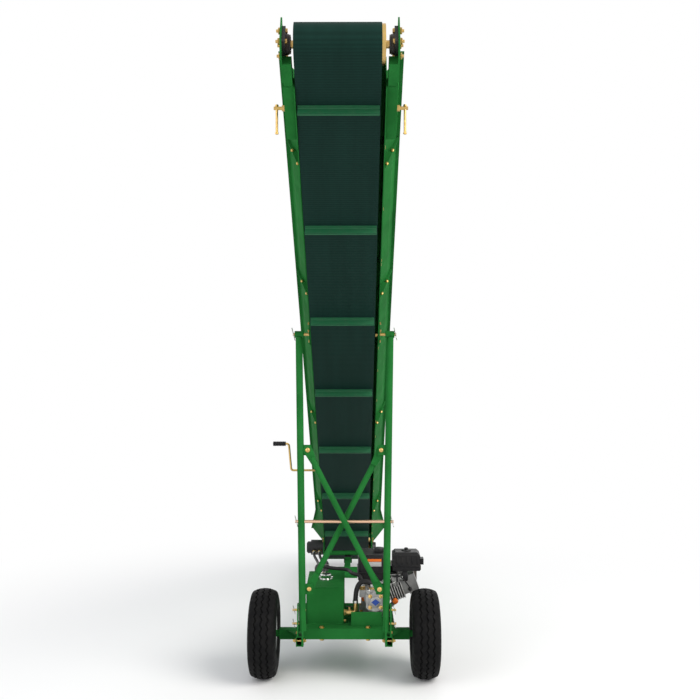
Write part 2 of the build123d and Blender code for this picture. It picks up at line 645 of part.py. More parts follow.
# Head take-up: sleeves, slides with ear plates, bearings and clamp handles
SLEEVE_W = 41.0
SLEEVE_P = DRUM_GAP - 402.0
sleeve = along(WEB_OUT, WEB_OUT + SLEEVE_W, SLEEVE_P, MAIN_END, -86, -34)
sleeve -= along(WEB_OUT + 3, WEB_OUT + SLEEVE_W - 3, SLEEVE_P - 1, MAIN_END + 1, -83, -37)
NODES["take_up_sleeves"] = pair(sleeve)
S0 = WEB_OUT + 3.5
S1 = WEB_OUT + SLEEVE_W - 3.5
slide = along(S0, S1, SLEEVE_P + 20, DRUM_GAP - 23, -82.5, -37.5)
slide -= along(S0 + 4, S1 - 4, SLEEVE_P + 19, DRUM_GAP - 60, -78.5, -41.5)
ear_line = [
    (DRUM_GAP - 110, -82.5),
    (DRUM_GAP + 30, -82.5),
    (DRUM_GAP + 66, -40),
    (DRUM_GAP + 66, 72),
    (DRUM_GAP - 66, 72),
    (DRUM_GAP - 66, -30),
    (DRUM_GAP - 110, -38),
]
slide += side_plate(ear_line, S1, S1 + 6)
NODES["take_up_slides"] = pair(slide)
hb = along(S1 - 13, S1, DRUM_GAP - 47, DRUM_GAP + 47, -37, 47) + conv_rod(S1 - 31, S1 - 13, DRUM_GAP, 0, 35)
hb -= conv_rod(S1 - 32, S1 + 1, DRUM_GAP, 0, HEAD_SHAFT_R + GAP)
NODES["head_bearings"] = pair(hb)
KNOB_P = DRUM_GAP - 260.0
knob_y, knob_z = world(KNOB_P, -60)
SL_OUT = WEB_OUT + SLEEVE_W
knob = rod_x(SL_OUT, SL_OUT + 12, knob_y, knob_z, 12) + rod_x(SL_OUT + 12, SL_OUT + 44, knob_y, knob_z, 7)
knob += rod_z(knob_z - 100, knob_z + 12, SL_OUT + 32, knob_y, 5)
NODES["take_up_handles"] = pair(knob)

# Winch housing inside the left frame and its crank
CRANK_RISE = 176.0
winch_y, winch_z = world(WINCH_P, WINCH_V)
grip_z = winch_z + CRANK_RISE
NODES["winch_housing"] = along(-WEB_IN, -WEB_IN + 70, WINCH_P - 45, WINCH_P + 45, WINCH_V - 33, WINCH_V + 37)
crank_path = [
    (-WEB_IN, winch_y, winch_z),
    (-368, winch_y, winch_z),
    (-384, winch_y, grip_z),
    (-482, winch_y, grip_z),
]
NODES["winch_crank"] = hose(crank_path, 16, CRANK_R)
grip = rod_x(-404, -488, winch_y, grip_z, 16)
grip -= rod_x(-403, -484, winch_y, grip_z, CRANK_R + GAP)
NODES["crank_grip"] = grip

# Hydraulic hoses: over the tank, along the left rail, then slung to the tail motor
HOSE_R = 10.0
HOSE_AIR = 0.5
ON_RAIL = AXLE_TOP + HOSE_R + HOSE_AIR
PRESS_RUN = -RAIL_X - HOSE_R - 1
BACK_RUN = -RAIL_X + HOSE_R + 1
# Sag of the free length: y, share of the drop from the rail to the ports
SLING = ((1450.0, 0.0), (1600.0, 0.1), (1900.0, 0.66), (2100.0, 0.92), (2260.0, 1.0))
SLING_R = [180] * 6


def slung(x0, x1):
    """Points of a hose between the rail's end and its port on the motor."""
    y0 = SLING[0][0]
    points = []
    for y, share in SLING:
        f = (y - y0) / (PORT_Y - y0)
        points.append((x0 + (x1 - x0) * f, y, ON_RAIL + (PORT_Z - ON_RAIL) * share))
    return points + [(x1, PORT_Y - 110, PORT_Z), (x1, PORT_Y, PORT_Z)]


OVER_TANK = TANK_TOP + 42
press_path = [
    (PRESS_X0, PRESS_Y0, PRESS_TOP),
    (PRESS_X0, PRESS_Y0, OVER_TANK + 6),
    (36, 190, OVER_TANK + 2),
    (20, 300, OVER_TANK),
    (-90, 330, OVER_TANK),
    (-165, 440, OVER_TANK),
    (-168, 570, OVER_TANK - 100),
    (PRESS_RUN, 760, ON_RAIL + 60),
    (PRESS_RUN, 960, ON_RAIL),
]
press_path += slung(PRESS_RUN, PRESS_X)
NODES["pressure_hose"] = hose(press_path, [24, 40, 50, 50, 60, 90, 150, 180] + SLING_R, HOSE_R)
back_path = [
    (FILTER_X - 15, FILTER_Y + 47, FILTER_PORT),
    (FILTER_X - 15, 470, FILTER_PORT),
    (-140, 580, FILTER_PORT - 78),
    (BACK_RUN, 760, ON_RAIL + 60),
    (BACK_RUN, 960, ON_RAIL),
]
back_path += slung(BACK_RUN, BACK_X)
NODES["return_hose"] = hose(back_path, [60, 90, 150, 180] + SLING_R, HOSE_R)

# Suction line: thick hose off the pump, elbow and valve at the tank's wall
SUCK_R = 13.0
ELBOW_X = 57.0
ELBOW_Z = DECK_Z + 56
suck_path = [
    (SUCK_X, SUCK_Y, SUCK_Z),
    (SUCK_X, SUCK_Y, SUCK_Z + 26),
    (ELBOW_X, SUCK_Y, SUCK_Z + 26),
    (ELBOW_X, SUCK_Y, ELBOW_Z + 50),
]
NODES["suction_hose"] = hose(suck_path, [25, 40], SUCK_R)
valve_path = [(ELBOW_X, SUCK_Y, ELBOW_Z + 50), (ELBOW_X, SUCK_Y, ELBOW_Z), (TANK_RIGHT, SUCK_Y, ELBOW_Z)]
valve = hose(valve_path, 14, 11)
valve += rod_x(14, 36, SUCK_Y, ELBOW_Z, 16)
valve += rod_z(ELBOW_Z, ELBOW_Z + 30, 25, SUCK_Y, 6)
NODES["suction_valve"] = valve

# Row frame: origin on the ground below the middle of the overall length
boxes = [shape.bounding_box() for shape in NODES.values()]
Y_MID = (min(b.min.Y for b in boxes) + max(b.max.Y for b in boxes)) / 2
for name, shape in NODES.items():
    export_step(Pos(0, -Y_MID, 0) * shape, "parts/" + name + ".step")
print("Y_MID", round(Y_MID, 3), "eye", EYE_Y, round(EYE_Z, 3), "stand", round(stand_y, 3))
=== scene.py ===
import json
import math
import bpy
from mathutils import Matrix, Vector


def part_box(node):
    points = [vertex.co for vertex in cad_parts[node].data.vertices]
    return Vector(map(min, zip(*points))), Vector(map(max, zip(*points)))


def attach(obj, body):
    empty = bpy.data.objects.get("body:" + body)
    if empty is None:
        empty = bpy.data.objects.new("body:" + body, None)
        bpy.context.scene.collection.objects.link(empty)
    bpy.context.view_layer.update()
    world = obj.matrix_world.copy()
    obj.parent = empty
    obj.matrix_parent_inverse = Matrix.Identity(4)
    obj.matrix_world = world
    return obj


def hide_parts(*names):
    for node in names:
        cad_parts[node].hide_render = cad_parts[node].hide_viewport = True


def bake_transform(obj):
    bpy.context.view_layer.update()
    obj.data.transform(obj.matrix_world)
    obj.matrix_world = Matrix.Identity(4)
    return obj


bl_info = {
    "name": "Firewood conveyor dressing",
    "version": (1, 0, 0),
    "blender": (4, 5, 0),
    "location": "View3D > Sidebar > Conveyor",
    "description": "Finishes, tyres, cleats, engine trim, fasteners and hoses on the conveyor's frame",
    "category": "Object",
}

import bmesh
import bpy
from mathutils import Matrix, Vector

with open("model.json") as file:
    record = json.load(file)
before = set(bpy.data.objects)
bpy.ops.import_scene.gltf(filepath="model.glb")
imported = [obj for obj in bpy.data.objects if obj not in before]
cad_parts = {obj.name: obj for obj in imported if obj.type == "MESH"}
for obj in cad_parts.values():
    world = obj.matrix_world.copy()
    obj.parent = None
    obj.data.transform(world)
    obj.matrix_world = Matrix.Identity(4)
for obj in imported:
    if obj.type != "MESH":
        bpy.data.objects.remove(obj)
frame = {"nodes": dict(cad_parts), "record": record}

MM = 0.001
X_AXIS = Vector((1, 0, 0))
Y_AXIS = Vector((0, 1, 0))
Z_AXIS = Vector((0, 0, 1))


# Places read from the frame, in metres unless the name ends in MM


def low(node):
    """Lowest corner of a node."""
    return Vector(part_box(node)[0])


def high(node):
    """Highest corner of a node."""
    return Vector(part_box(node)[1])


def middle(node):
    """Middle of a node's box."""
    return (low(node) + high(node)) / 2


def centred(node):
    """Middle of a node, moved onto the machine's middle plane."""
    at = middle(node)
    return Vector((0, at.y, at.z))


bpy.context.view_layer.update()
AXLE = middle("axle")
TAIL = centred("tail_drum")
HEAD = centred("head_drum")
FOOT = centred("foot_bolts")
PIVOT = centred("top_pins")
ALONG = (HEAD - TAIL).normalized()
NORMAL = Vector((0, ALONG.z, -ALONG.y))
SLOPE = math.atan2(ALONG.z, -ALONG.y)
RISE = (PIVOT - FOOT).normalized()
BACK = Vector((0, RISE.z, -RISE.y))
RUN_MM = (HEAD - TAIL).length / MM
PIN_MM = (PIVOT - TAIL).dot(ALONG) / MM
UPRIGHT_MM = (PIVOT - FOOT).length / MM
WEB_MM = low("tail_bearing").x / MM
EAR_MM = high("take_up_slides").x / MM
DECK_TOP = low("hydraulic_tank").z
DECK_MM = DECK_TOP / MM
TANK_MM = high("hydraulic_tank").z / MM


def site(x, y, z):
    """Point in millimetres from the ground below the axle's middle."""
    return Vector((x * MM, AXLE.y + y * MM, z * MM))


def on_deck(x, y, z):
    """Point in millimetres from the axle's middle, raised from the engine deck."""
    return site(x, y, DECK_MM + z)


def on_belt(u, p, v):
    """Point on the conveyor in millimetres: across, up the slope from the tail drum, off the drum plane."""
    return Vector((u * MM, 0, 0)) + TAIL + ALONG * (p * MM) + NORMAL * (v * MM)


def on_upright(x, depth, s):
    """Point on the leaning frame in millimetres: across, behind its plane, up from its foot bolts."""
    return Vector((x * MM, 0, 0)) + FOOT + BACK * (depth * MM) + RISE * (s * MM)


# Sizes and colours that a user would change


class PaintSettings(bpy.types.PropertyGroup):
    """Colours of the machine."""

    green: bpy.props.FloatVectorProperty(
        name="Frame green",
        description="Gloss paint of the steelwork",
        subtype="COLOR",
        default=(0.017, 0.140, 0.029),
    )
    belt: bpy.props.FloatVectorProperty(
        name="Belt", description="Rubber of the belt", subtype="COLOR", default=(0.006, 0.026, 0.020)
    )
    cleat: bpy.props.FloatVectorProperty(
        name="Cleats", description="Rubber of the cleats", subtype="COLOR", default=(0.011, 0.095, 0.038)
    )
    zinc: bpy.props.FloatVectorProperty(
        name="Yellow zinc",
        description="Plating of pins and bolts",
        subtype="COLOR",
        default=(0.62, 0.43, 0.13),
    )
    accent: bpy.props.FloatVectorProperty(
        name="Caps",
        description="Oil caps and blank fuel tank plate",
        subtype="COLOR",
        default=(0.75, 0.16, 0.02),
    )


class TreadSettings(bpy.types.PropertyGroup):
    """Tread of the tyres."""

    depth: bpy.props.FloatProperty(
        name="Groove depth", description="Depth of grooves", unit="LENGTH", default=0.006
    )
    swing: bpy.props.FloatProperty(
        name="Zigzag", description="Half swing of grooves", unit="LENGTH", default=0.0045
    )
    waves: bpy.props.IntProperty(name="Waves", description="Zigzags round the tyre", default=34, min=12)


class FastenerSettings(bpy.types.PropertyGroup):
    """Bolts and clips."""

    head: bpy.props.FloatProperty(
        name="Bolt head", description="Radius of an M8 head", unit="LENGTH", default=0.0075
    )
    wire: bpy.props.FloatProperty(
        name="Clip wire", description="Radius of clip wire", unit="LENGTH", default=0.0018
    )


# Mesh shapes: pairs of a list of points and a list of faces


def lathe(profile, sides):
    """Turned shape about Z from (radius, height) pairs, closed at both ends."""
    points = []
    rings = []
    for radius, height in profile:
        rings.append(range(len(points), len(points) + sides))
        for k in range(sides):
            turn = 2 * math.pi * k / sides
            points.append(Vector((radius * math.cos(turn), radius * math.sin(turn), height)))
    return points, skin(rings, sides)


def skin(rings, sides):
    """Faces between rings of points, with a cap at each end."""
    faces = []
    for below, above in zip(rings, rings[1:]):
        for k in range(sides):
            n = (k + 1) % sides
            faces.append((below[k], below[n], above[n], above[k]))
    return faces + [tuple(reversed(rings[0])), tuple(rings[-1])]


def prism(outline, bottom, top):
    """Upright prism on an (x, y) outline given counter-clockwise."""
    count = len(outline)
    points = [Vector((x, y, z)) for z in (bottom, top) for x, y in outline]
    return points, skin([range(count), range(count, 2 * count)], count)


def block(size, bevel, segments=2):
    """Box about the origin with rounded edges."""
    bm = bmesh.new()
    bmesh.ops.create_cube(bm, size=1.0)
    bmesh.ops.scale(bm, vec=size, verts=bm.verts)
    if bevel > 0:
        bmesh.ops.bevel(bm, geom=bm.edges[:], offset=bevel, segments=segments, profile=0.5, affect="EDGES")
    bm.verts.index_update()
    points = [v.co.copy() for v in bm.verts]
    faces = [tuple(v.index for v in f.verts) for f in bm.faces]
    bm.free()
    return points, faces


def tube(path, radius, sides=10):
    """Round bar along a path; the radius is a number, or a rule of the share of the way along."""
    last = len(path) - 1
    normal = None
    rings = []
    points = []
    for k, at in enumerate(path):
        tangent = (path[min(k + 1, last)] - path[max(k - 1, 0)]).normalized()
        if normal is None:
            normal = tangent.orthogonal().normalized()
        normal = (normal - tangent * normal.dot(tangent)).normalized()
        other = tangent.cross(normal)
        size = radius(k / last) if callable(radius) else radius
        rings.append(range(len(points), len(points) + sides))
        for j in range(sides):
            turn = 2 * math.pi * j / sides
            points.append(at + (normal * math.cos(turn) + other * math.sin(turn)) * size)
    return points, skin(rings, sides)


def aim(at, facing, heading=None):
    """Matrix that puts a shape's origin at a point with its Z along facing and its X near heading."""
    z = Vector(facing).normalized()
    x = Vector(heading) if heading is not None else z.orthogonal()
    x = (x - z * x.dot(z)).normalized()
    y = z.cross(x)
    turn = Matrix((x, y, z)).transposed().to_4x4()
    return Matrix.Translation(at) @ turn


def put(shape, matrix):
    """A shape moved by a matrix."""
    points, faces = shape
    return [matrix @ p for p in points], faces


def turned(at, facing, profile, sides=24):
    """Turned shape of (radius, height) pairs in millimetres, standing on a point."""
    return put(lathe([(r * MM, h * MM) for r, h in profile], sides), aim(at, facing))


def turned_on_deck(rows):
    """Turned shapes from rows of (place above the deck, facing, profile, sides)."""
    return [turned(on_deck(*at), facing, profile, sides) for at, facing, profile, sides in rows]


def box_at(lo, hi, bevel, level=DECK_MM):
    """Rounded box between two corners in millimetres above a level."""
    a = site(lo[0], lo[1], level + lo[2])
    b = site(hi[0], hi[1], level + hi[2])
    return put(block(tuple(b - a), bevel * MM), Matrix.Translation((a + b) / 2))


def mesh_of(name, shapes):
    """One mesh from several shapes."""
    points = []
    faces = []
    for shape_points, shape_faces in shapes:
        base = len(points)
        points += shape_points
        faces += [tuple(i + base for i in f) for f in shape_faces]
    mesh = bpy.data.meshes.new(name)
    mesh.from_pydata([tuple(p) for p in points], [], faces)
    bm = bmesh.new()
    bm.from_mesh(mesh)
    bmesh.ops.recalc_face_normals(bm, faces=bm.faces[:])
    bm.to_mesh(mesh)
    bm.free()
    return mesh


SHARP_EDGE = math.radians(38)


def soften(mesh):
    """Smooth shading that keeps sharp edges."""
    for polygon in mesh.polygons:
        polygon.use_smooth = True
    mesh.set_sharp_from_angle(angle=SHARP_EDGE)


def carry(name, mesh, body):
    """Object of a mesh, riding on a body where one is given."""
    obj = bpy.data.objects.new(name, mesh)
    bpy.context.scene.collection.objects.link(obj)
    if body:
        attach(obj, body)
    return obj


# Finishes by name, made by the first step
FINISH = {}


def piece(name, shapes, finish, body):
    """A piece of several shapes in one finish."""
    mesh = mesh_of(name, shapes)
    soften(mesh)
    mesh.materials.append(FINISH[finish])
    return carry(name, mesh, body)


# Repeats by Geometry Nodes


def station_tree():
    """Node tree that sets one template on every station, turned to the station's directions."""
    tree = bpy.data.node_groups.get("Station array")
    if tree:
        return tree
    tree = bpy.data.node_groups.new("Station array", "GeometryNodeTree")
    socket = tree.interface.new_socket
    for label, kind in (("Stations", "Geometry"), ("Template", "Object"), ("Finish", "Material")):
        socket(label, in_out="INPUT", socket_type="NodeSocket" + kind)
    socket("Pieces", in_out="OUTPUT", socket_type="NodeSocketGeometry")
    add = tree.nodes.new
    link = tree.links.new
    start = add("NodeGroupInput")
    template = add("GeometryNodeObjectInfo")
    link(start.outputs["Template"], template.inputs["Object"])
    turn = None
    for axis, label in (("Z", "facing"), ("X", "heading")):
        read = add("GeometryNodeInputNamedAttribute")
        read.data_type = "FLOAT_VECTOR"
        read.inputs["Name"].default_value = label
        align = add("FunctionNodeAlignRotationToVector")
        align.axis = axis
        align.pivot_axis = "AUTO" if turn is None else "Z"
        link(read.outputs["Attribute"], align.inputs["Vector"])
        if turn:
            link(turn.outputs["Rotation"], align.inputs["Rotation"])
        turn = align
    size = add("GeometryNodeInputNamedAttribute")
    size.data_type = "FLOAT"
    size.inputs["Name"].default_value = "size"
    place = add("GeometryNodeInstanceOnPoints")
    link(start.outputs["Stations"], place.inputs["Points"])
    link(template.outputs["Geometry"], place.inputs["Instance"])
    link(turn.outputs["Rotation"], place.inputs["Rotation"])
    link(size.outputs["Attribute"], place.inputs["Scale"])
    real = add("GeometryNodeRealizeInstances")
    link(place.outputs["Instances"], real.inputs["Geometry"])
    paint = add("GeometryNodeSetMaterial")
    link(real.outputs["Geometry"], paint.inputs["Geometry"])
    link(start.outputs["Finish"], paint.inputs["Material"])
    end = add("NodeGroupOutput")
    link(paint.outputs["Geometry"], end.inputs["Pieces"])
    return tree


def scatter(name, shapes, stations, finish, body):
    """Copies of a template at stations of (point, facing, heading, size), as one piece."""
    template = bpy.data.objects.new(name + "_template", mesh_of(name + "_template", shapes))
    points = bpy.data.meshes.new(name + "_stations")
    points.from_pydata([tuple(s[0]) for s in stations], [], [])
    for label, column in (("facing", 1), ("heading", 2)):
        data = points.attributes.new(label, "FLOAT_VECTOR", "POINT")
        data.data.foreach_set("vector", [c for s in stations for c in s[column]])
    data = points.attributes.new("size", "FLOAT", "POINT")
    data.data.foreach_set("value", [s[3] for s in stations])
    carrier = bpy.data.objects.new(name + "_carrier", points)
    for obj in (template, carrier):
        bpy.context.scene.collection.objects.link(obj)
    tree = station_tree()
    modifier = carrier.modifiers.new("Stations", "NODES")
    modifier.node_group = tree
    sockets = {s.name: s.identifier for s in tree.interface.items_tree if s.in_out == "INPUT"}
    modifier[sockets["Template"]] = template
    modifier[sockets["Finish"]] = FINISH[finish]
    graph = bpy.context.evaluated_depsgraph_get()
    mesh = bpy.data.meshes.new_from_object(carrier.evaluated_get(graph), depsgraph=graph)
    mesh.name = name
    for obj in (carrier, template):
        bpy.data.objects.remove(obj, do_unlink=True)
    soften(mesh)
    carry(name, mesh, body)


# Finishes


def shader(name):
    """New material with its principled shader and object coordinates."""
    finish = bpy.data.materials.new(name)
    finish.use_nodes = True
    nodes = finish.node_tree.nodes
    nodes.clear()
    surface = nodes.new("ShaderNodeBsdfPrincipled")
    out = nodes.new("ShaderNodeOutputMaterial")
    finish.node_tree.links.new(surface.outputs["BSDF"], out.inputs["Surface"])
    coords = nodes.new("ShaderNodeTexCoord")
    return finish, surface, coords.outputs["Object"]


def noise(finish, coords, scale, detail=4.0, rough=0.55):
    """Noise factor at a scale per metre."""
    node = finish.node_tree.nodes.new("ShaderNodeTexNoise")
    node.inputs["Scale"].default_value = scale
    node.inputs["Detail"].default_value = detail
    node.inputs["Roughness"].default_value = rough
    finish.node_tree.links.new(coords, node.inputs["Vector"])
    return node.outputs["Fac"]


def ramp(finish, factor, stops):
    """Ramp on a factor; stops are (position, colour or grey value)."""
    node = finish.node_tree.nodes.new("ShaderNodeValToRGB")
    finish.node_tree.links.new(factor, node.inputs["Fac"])
    for mark, (position, colour) in zip(node.color_ramp.elements, stops):
        mark.position = position
        mark.color = (*colour, 1.0) if isinstance(colour, tuple) else (colour, colour, colour, 1.0)
    return node.outputs["Color"]


def mottle(finish, coords, scale, first, second, **grain):
    """Noise ramped between two stops of (position, colour or grey value)."""
    return ramp(finish, noise(finish, coords, scale, **grain), (first, second))


def blend_colour(finish, factor, a, b):
    """Mix of two colours or colour outputs by a factor output."""
    node = finish.node_tree.nodes.new("ShaderNodeMix")
    node.data_type = "RGBA"
    links = finish.node_tree.links
    links.new(factor, node.inputs["Factor"])
    for socket, value in ((node.inputs[6], a), (node.inputs[7], b)):
        if hasattr(value, "is_linked"):
            links.new(value, socket)
        else:
            socket.default_value = (*value, 1.0)
    return node.outputs[2]


def relief(finish, surface, height, strength, distance):
    """Bump from a height output."""
    node = finish.node_tree.nodes.new("ShaderNodeBump")
    node.inputs["Strength"].default_value = strength
    node.inputs["Distance"].default_value = distance
    finish.node_tree.links.new(height, node.inputs["Height"])
    finish.node_tree.links.new(node.outputs["Normal"], surface.inputs["Normal"])


def tint(colour, factor):
    """A colour made lighter or darker."""
    return tuple(min(1.0, c * factor) for c in colour)


def coat(finish, surface, coords, base, wear, grain, metallic=0.0, specular=0.5):
    """Base colour output, roughness and relief on a finish.

    Wear is (scale, first stop, second stop), and grain is (scale, detail, strength, distance).
    """
    link = finish.node_tree.links.new
    link(base, surface.inputs["Base Color"])
    link(mottle(finish, coords, *wear), surface.inputs["Roughness"])
    surface.inputs["Metallic"].default_value = metallic
    surface.inputs["Specular IOR Level"].default_value = specular
    scale, detail, strength, distance = grain
    relief(finish, surface, noise(finish, coords, scale, detail), strength, distance)
    return finish


def gloss_paint(name, colour, dust=(0.20, 0.21, 0.15)):
    """Workshop gloss paint: faint flow, dull patches and a little dust."""
    finish, surface, coords = shader(name)
    flow = mottle(finish, coords, 5.0, (0.32, tint(colour, 0.82)), (0.7, tint(colour, 1.14)))
    specks = mottle(finish, coords, 60.0, (0.56, 0.0), (0.78, 0.05), detail=6.0, rough=0.7)
    base = blend_colour(finish, specks, flow, dust)
    wear = (14.0, (0.3, 0.34), (0.75, 0.50))
    return coat(finish, surface, coords, base, wear, (260.0, 2.0, 0.12, 0.0004), specular=0.005)


def plated(name, colour, rough=0.34, cast=(0.55, 0.30, 0.30)):
    """Zinc, chrome or copper plating with a patchy cast."""
    finish, surface, coords = shader(name)
    patch = mottle(finish, coords, 90.0, (0.35, 0.0), (0.75, 0.35), detail=3.0)
    base = blend_colour(finish, patch, colour, cast)
    wear = (240.0, (0.3, rough - 0.08), (0.8, rough + 0.16))
    return coat(finish, surface, coords, base, wear, (700.0, 2.0, 0.08, 0.0002), metallic=1.0)


def cast_metal(name, colour, metallic, grain=420.0):
    """Sand-cast metal: fine grain and soft stains."""
    finish, surface, coords = shader(name)
    base = mottle(finish, coords, 18.0, (0.3, tint(colour, 0.7)), (0.72, tint(colour, 1.12)), detail=6.0)
    wear = (120.0, (0.3, 0.36), (0.8, 0.58))
    return coat(finish, surface, coords, base, wear, (grain, 3.0, 0.25, 0.0004), metallic=metallic)


def moulded(name, colour, rough, grain=900.0):
    """Moulded plastic or rubber with a fine grain and a breath of dust."""
    finish, surface, coords = shader(name)
    dust = mottle(finish, coords, 30.0, (0.45, 0.0), (0.85, 0.14), detail=6.0, rough=0.7)
    base = blend_colour(finish, dust, colour, (0.10, 0.09, 0.075))
    wear = (60.0, (0.3, rough - 0.1), (0.8, rough + 0.15))
    return coat(finish, surface, coords, base, wear, (grain, 2.0, 0.15, 0.0003), specular=0.2)


def tyre_rubber(name):
    """Black rubber, dusty in patches."""
    finish, surface, coords = shader(name)
    dust = mottle(finish, coords, 22.0, (0.42, 0.0), (0.8, 0.4), detail=7.0, rough=0.7)
    base = blend_colour(finish, dust, (0.004, 0.004, 0.0044), (0.016, 0.015, 0.013))
    wear = (40.0, (0.3, 0.55), (0.8, 0.85))
    return coat(finish, surface, coords, base, wear, (500.0, 3.0, 0.25, 0.0004), specular=0.1)


# Metres between the wave texture's bands at a scale of 1, and between the belt's ribs
WAVE_STEP = 0.314
RIB_STEP = 0.012


def ribbed_belt(name, colour):
    """Belt rubber with fine ribs across the run, painted shade darkening the grooves between them, and
    dusty streaks along it.
    """
    finish, surface, coords = shader(name)
    link = finish.node_tree.links.new
    nodes = finish.node_tree.nodes
    turn = nodes.new("ShaderNodeMapping")
    turn.inputs["Rotation"].default_value = (SLOPE, 0, 0)
    link(coords, turn.inputs["Vector"])
    ribs = nodes.new("ShaderNodeTexWave")
    ribs.bands_direction = "Y"
    ribs.inputs["Scale"].default_value = WAVE_STEP / RIB_STEP
    ribs.inputs["Distortion"].default_value = 0.0
    link(turn.outputs["Vector"], ribs.inputs["Vector"])
    stretch = nodes.new("ShaderNodeMapping")
    stretch.inputs["Scale"].default_value = (26, 1.6, 10)
    link(turn.outputs["Vector"], stretch.inputs["Vector"])
    dark, light = (0.30, tint(colour, 0.9)), (0.75, tint(colour, 1.12))
    streaks = mottle(finish, stretch.outputs["Vector"], 1.0, dark, light, detail=6.0, rough=0.6)
    # Painted shade: the grooves between the ribs, where the bump is lowest, are mixed towards a darker belt
    # colour
    painted_groove_shade = ramp(finish, ribs.outputs["Fac"], ((0.2, 0.3), (0.7, 0.0)))
    link(blend_colour(finish, painted_groove_shade, streaks, tint(colour, 0.42)), surface.inputs["Base Color"])
    surface.inputs["Roughness"].default_value = 0.55
    surface.inputs["Specular IOR Level"].default_value = 0.06
    relief(finish, surface, ribs.outputs["Fac"], strength=0.35, distance=0.0012)
    return finish


def make_finishes(paint):
    """All finishes by name."""
    FINISH["green"] = gloss_paint("green_gloss_paint", tuple(paint.green))
    FINISH["belt"] = ribbed_belt("ribbed_belt_rubber", tuple(paint.belt))
    FINISH["cleat"] = moulded("cleat_rubber", tuple(paint.cleat), 0.45)
    FINISH["zinc"] = plated("yellow_zinc", tuple(paint.zinc))
    FINISH["bright"] = plated("bright_zinc", (0.62, 0.62, 0.60), 0.3, (0.45, 0.44, 0.40))
    FINISH["copper"] = plated("dull_copper_rod", (0.78, 0.50, 0.34), 0.32, (0.62, 0.38, 0.26))
    FINISH["chrome"] = plated("filter_chrome", (0.78, 0.78, 0.78), 0.16, (0.6, 0.6, 0.6))
    FINISH["aluminium"] = cast_metal("cast_aluminium", (0.40, 0.40, 0.39), 0.85)
    FINISH["iron"] = cast_metal("black_cast_iron", (0.022, 0.022, 0.024), 0.2)
    FINISH["muffler"] = cast_metal("heat_dulled_steel", (0.16, 0.14, 0.12), 0.8, 200.0)
    FINISH["rim"] = gloss_paint("silver_wheel_paint", (0.55, 0.56, 0.56), (0.28, 0.24, 0.18))
    FINISH["plastic"] = moulded("black_moulded_plastic", (0.012, 0.012, 0.013), 0.42)
    FINISH["rubber"] = moulded("hose_rubber", (0.014, 0.014, 0.015), 0.55, 1200.0)
    FINISH["tyre"] = tyre_rubber("tyre_rubber")
    FINISH["cap"] = moulded("orange_cap_plastic", tuple(paint.accent), 0.4)
    FINISH["plate"] = moulded("blank_grey_plate", (0.42, 0.42, 0.41), 0.35)
    FINISH["blue"] = moulded("blank_blue_plate", (0.02, 0.06, 0.28), 0.35)


SLOT_FINISH = {
    "green_paint": "green",
    "tyre": "tyre",
    "rim": "rim",
    "rubber": "rubber",
    "belt": "belt",
    "zinc": "zinc",
    "copper": "copper",
    "chrome": "chrome",
    "aluminium": "aluminium",
    "dark_steel": "muffler",
    "black_plastic": "plastic",
    "black_iron": "iron",
}


class CONVEYOR_OT_finishes(bpy.types.Operator):
    """Make the finishes and paint every part of the frame"""

    bl_idname = "conveyor.finishes"
    bl_label = "Finishes"

    def execute(self, context):
        make_finishes(context.scene.conveyor_paint)
        slots = {s["node"]: s["material_slot"] for s in frame["record"]["subparts"]}
        for node, obj in frame["nodes"].items():
            obj.data.materials.clear()
            obj.data.materials.append(FINISH[SLOT_FINISH[slots[node]]])
        return {"FINISHED"}


# Tyres: distances across and radii in metres

# Middles of the grooves, and half widths at a groove's lip and floor
GROOVE_X = (-0.031, 0.0, 0.031)
GROOVE_LIP = 0.0045
GROOVE_FLOOR = 0.0032
RIB_MIDDLE = 0.0155
SHOULDER_X = (0.042, 0.050, 0.059)
CROWN_DROP = 0.015 / 0.060**2
# (radius, half width) from the bead to the shoulder
TYRE_WALL = (
    (0.104, 0.058),
    (0.112, 0.0595),
    (0.128, 0.066),
    (0.131, 0.0685),
    (0.137, 0.0685),
    (0.140, 0.0695),
    (0.158, 0.073),
    (0.180, 0.0715),
    (0.198, 0.0675),
    (0.207, 0.0645),
)
WALL_PROUD = 0.0004
WAVE_STEPS = 6
NOTCH_DEPTH = 0.0035
NOTCH_STEPS = (0, 1)
NOTCH_RADII = (0.196, 0.2165)
NOTCH_FROM_X = 0.055
WHEEL_BOLT_R = 0.053
WHEEL_FACE = 0.014
# (outwards, up) from the wheel's centre
VALVE_STEM = ((WHEEL_FACE, 0.078), (0.035, 0.082), (0.050, 0.080))


def tread_columns(settings, radius):
    """Columns across a tyre from bead to bead, as (across, radius, share of the zigzag)."""
    grooves = []
    for x in GROOVE_X:
        lips = ((-GROOVE_LIP, 0.0), (-GROOVE_FLOOR, 1.0), (GROOVE_FLOOR, 1.0), (GROOVE_LIP, 0.0))
        grooves += [(x + step, sunk, 1.0) for step, sunk in lips]
        grooves.append((x + RIB_MIDDLE, 0.0, 0.5))
    near = [(-x, 0.0, 0.0) for x in reversed(SHOULDER_X)]
    far = [(x, 0.0, 0.0) for x in SHOULDER_X]
    columns = [(-x, r + WALL_PROUD, 0.0) for r, x in TYRE_WALL]
    for x, sunk, share in near + grooves[:-1] + far:
        columns.append((x, radius - CROWN_DROP * x * x - settings.depth * sunk, share))
    return columns + [(x, r + WALL_PROUD, 0.0) for r, x in reversed(TYRE_WALL)]


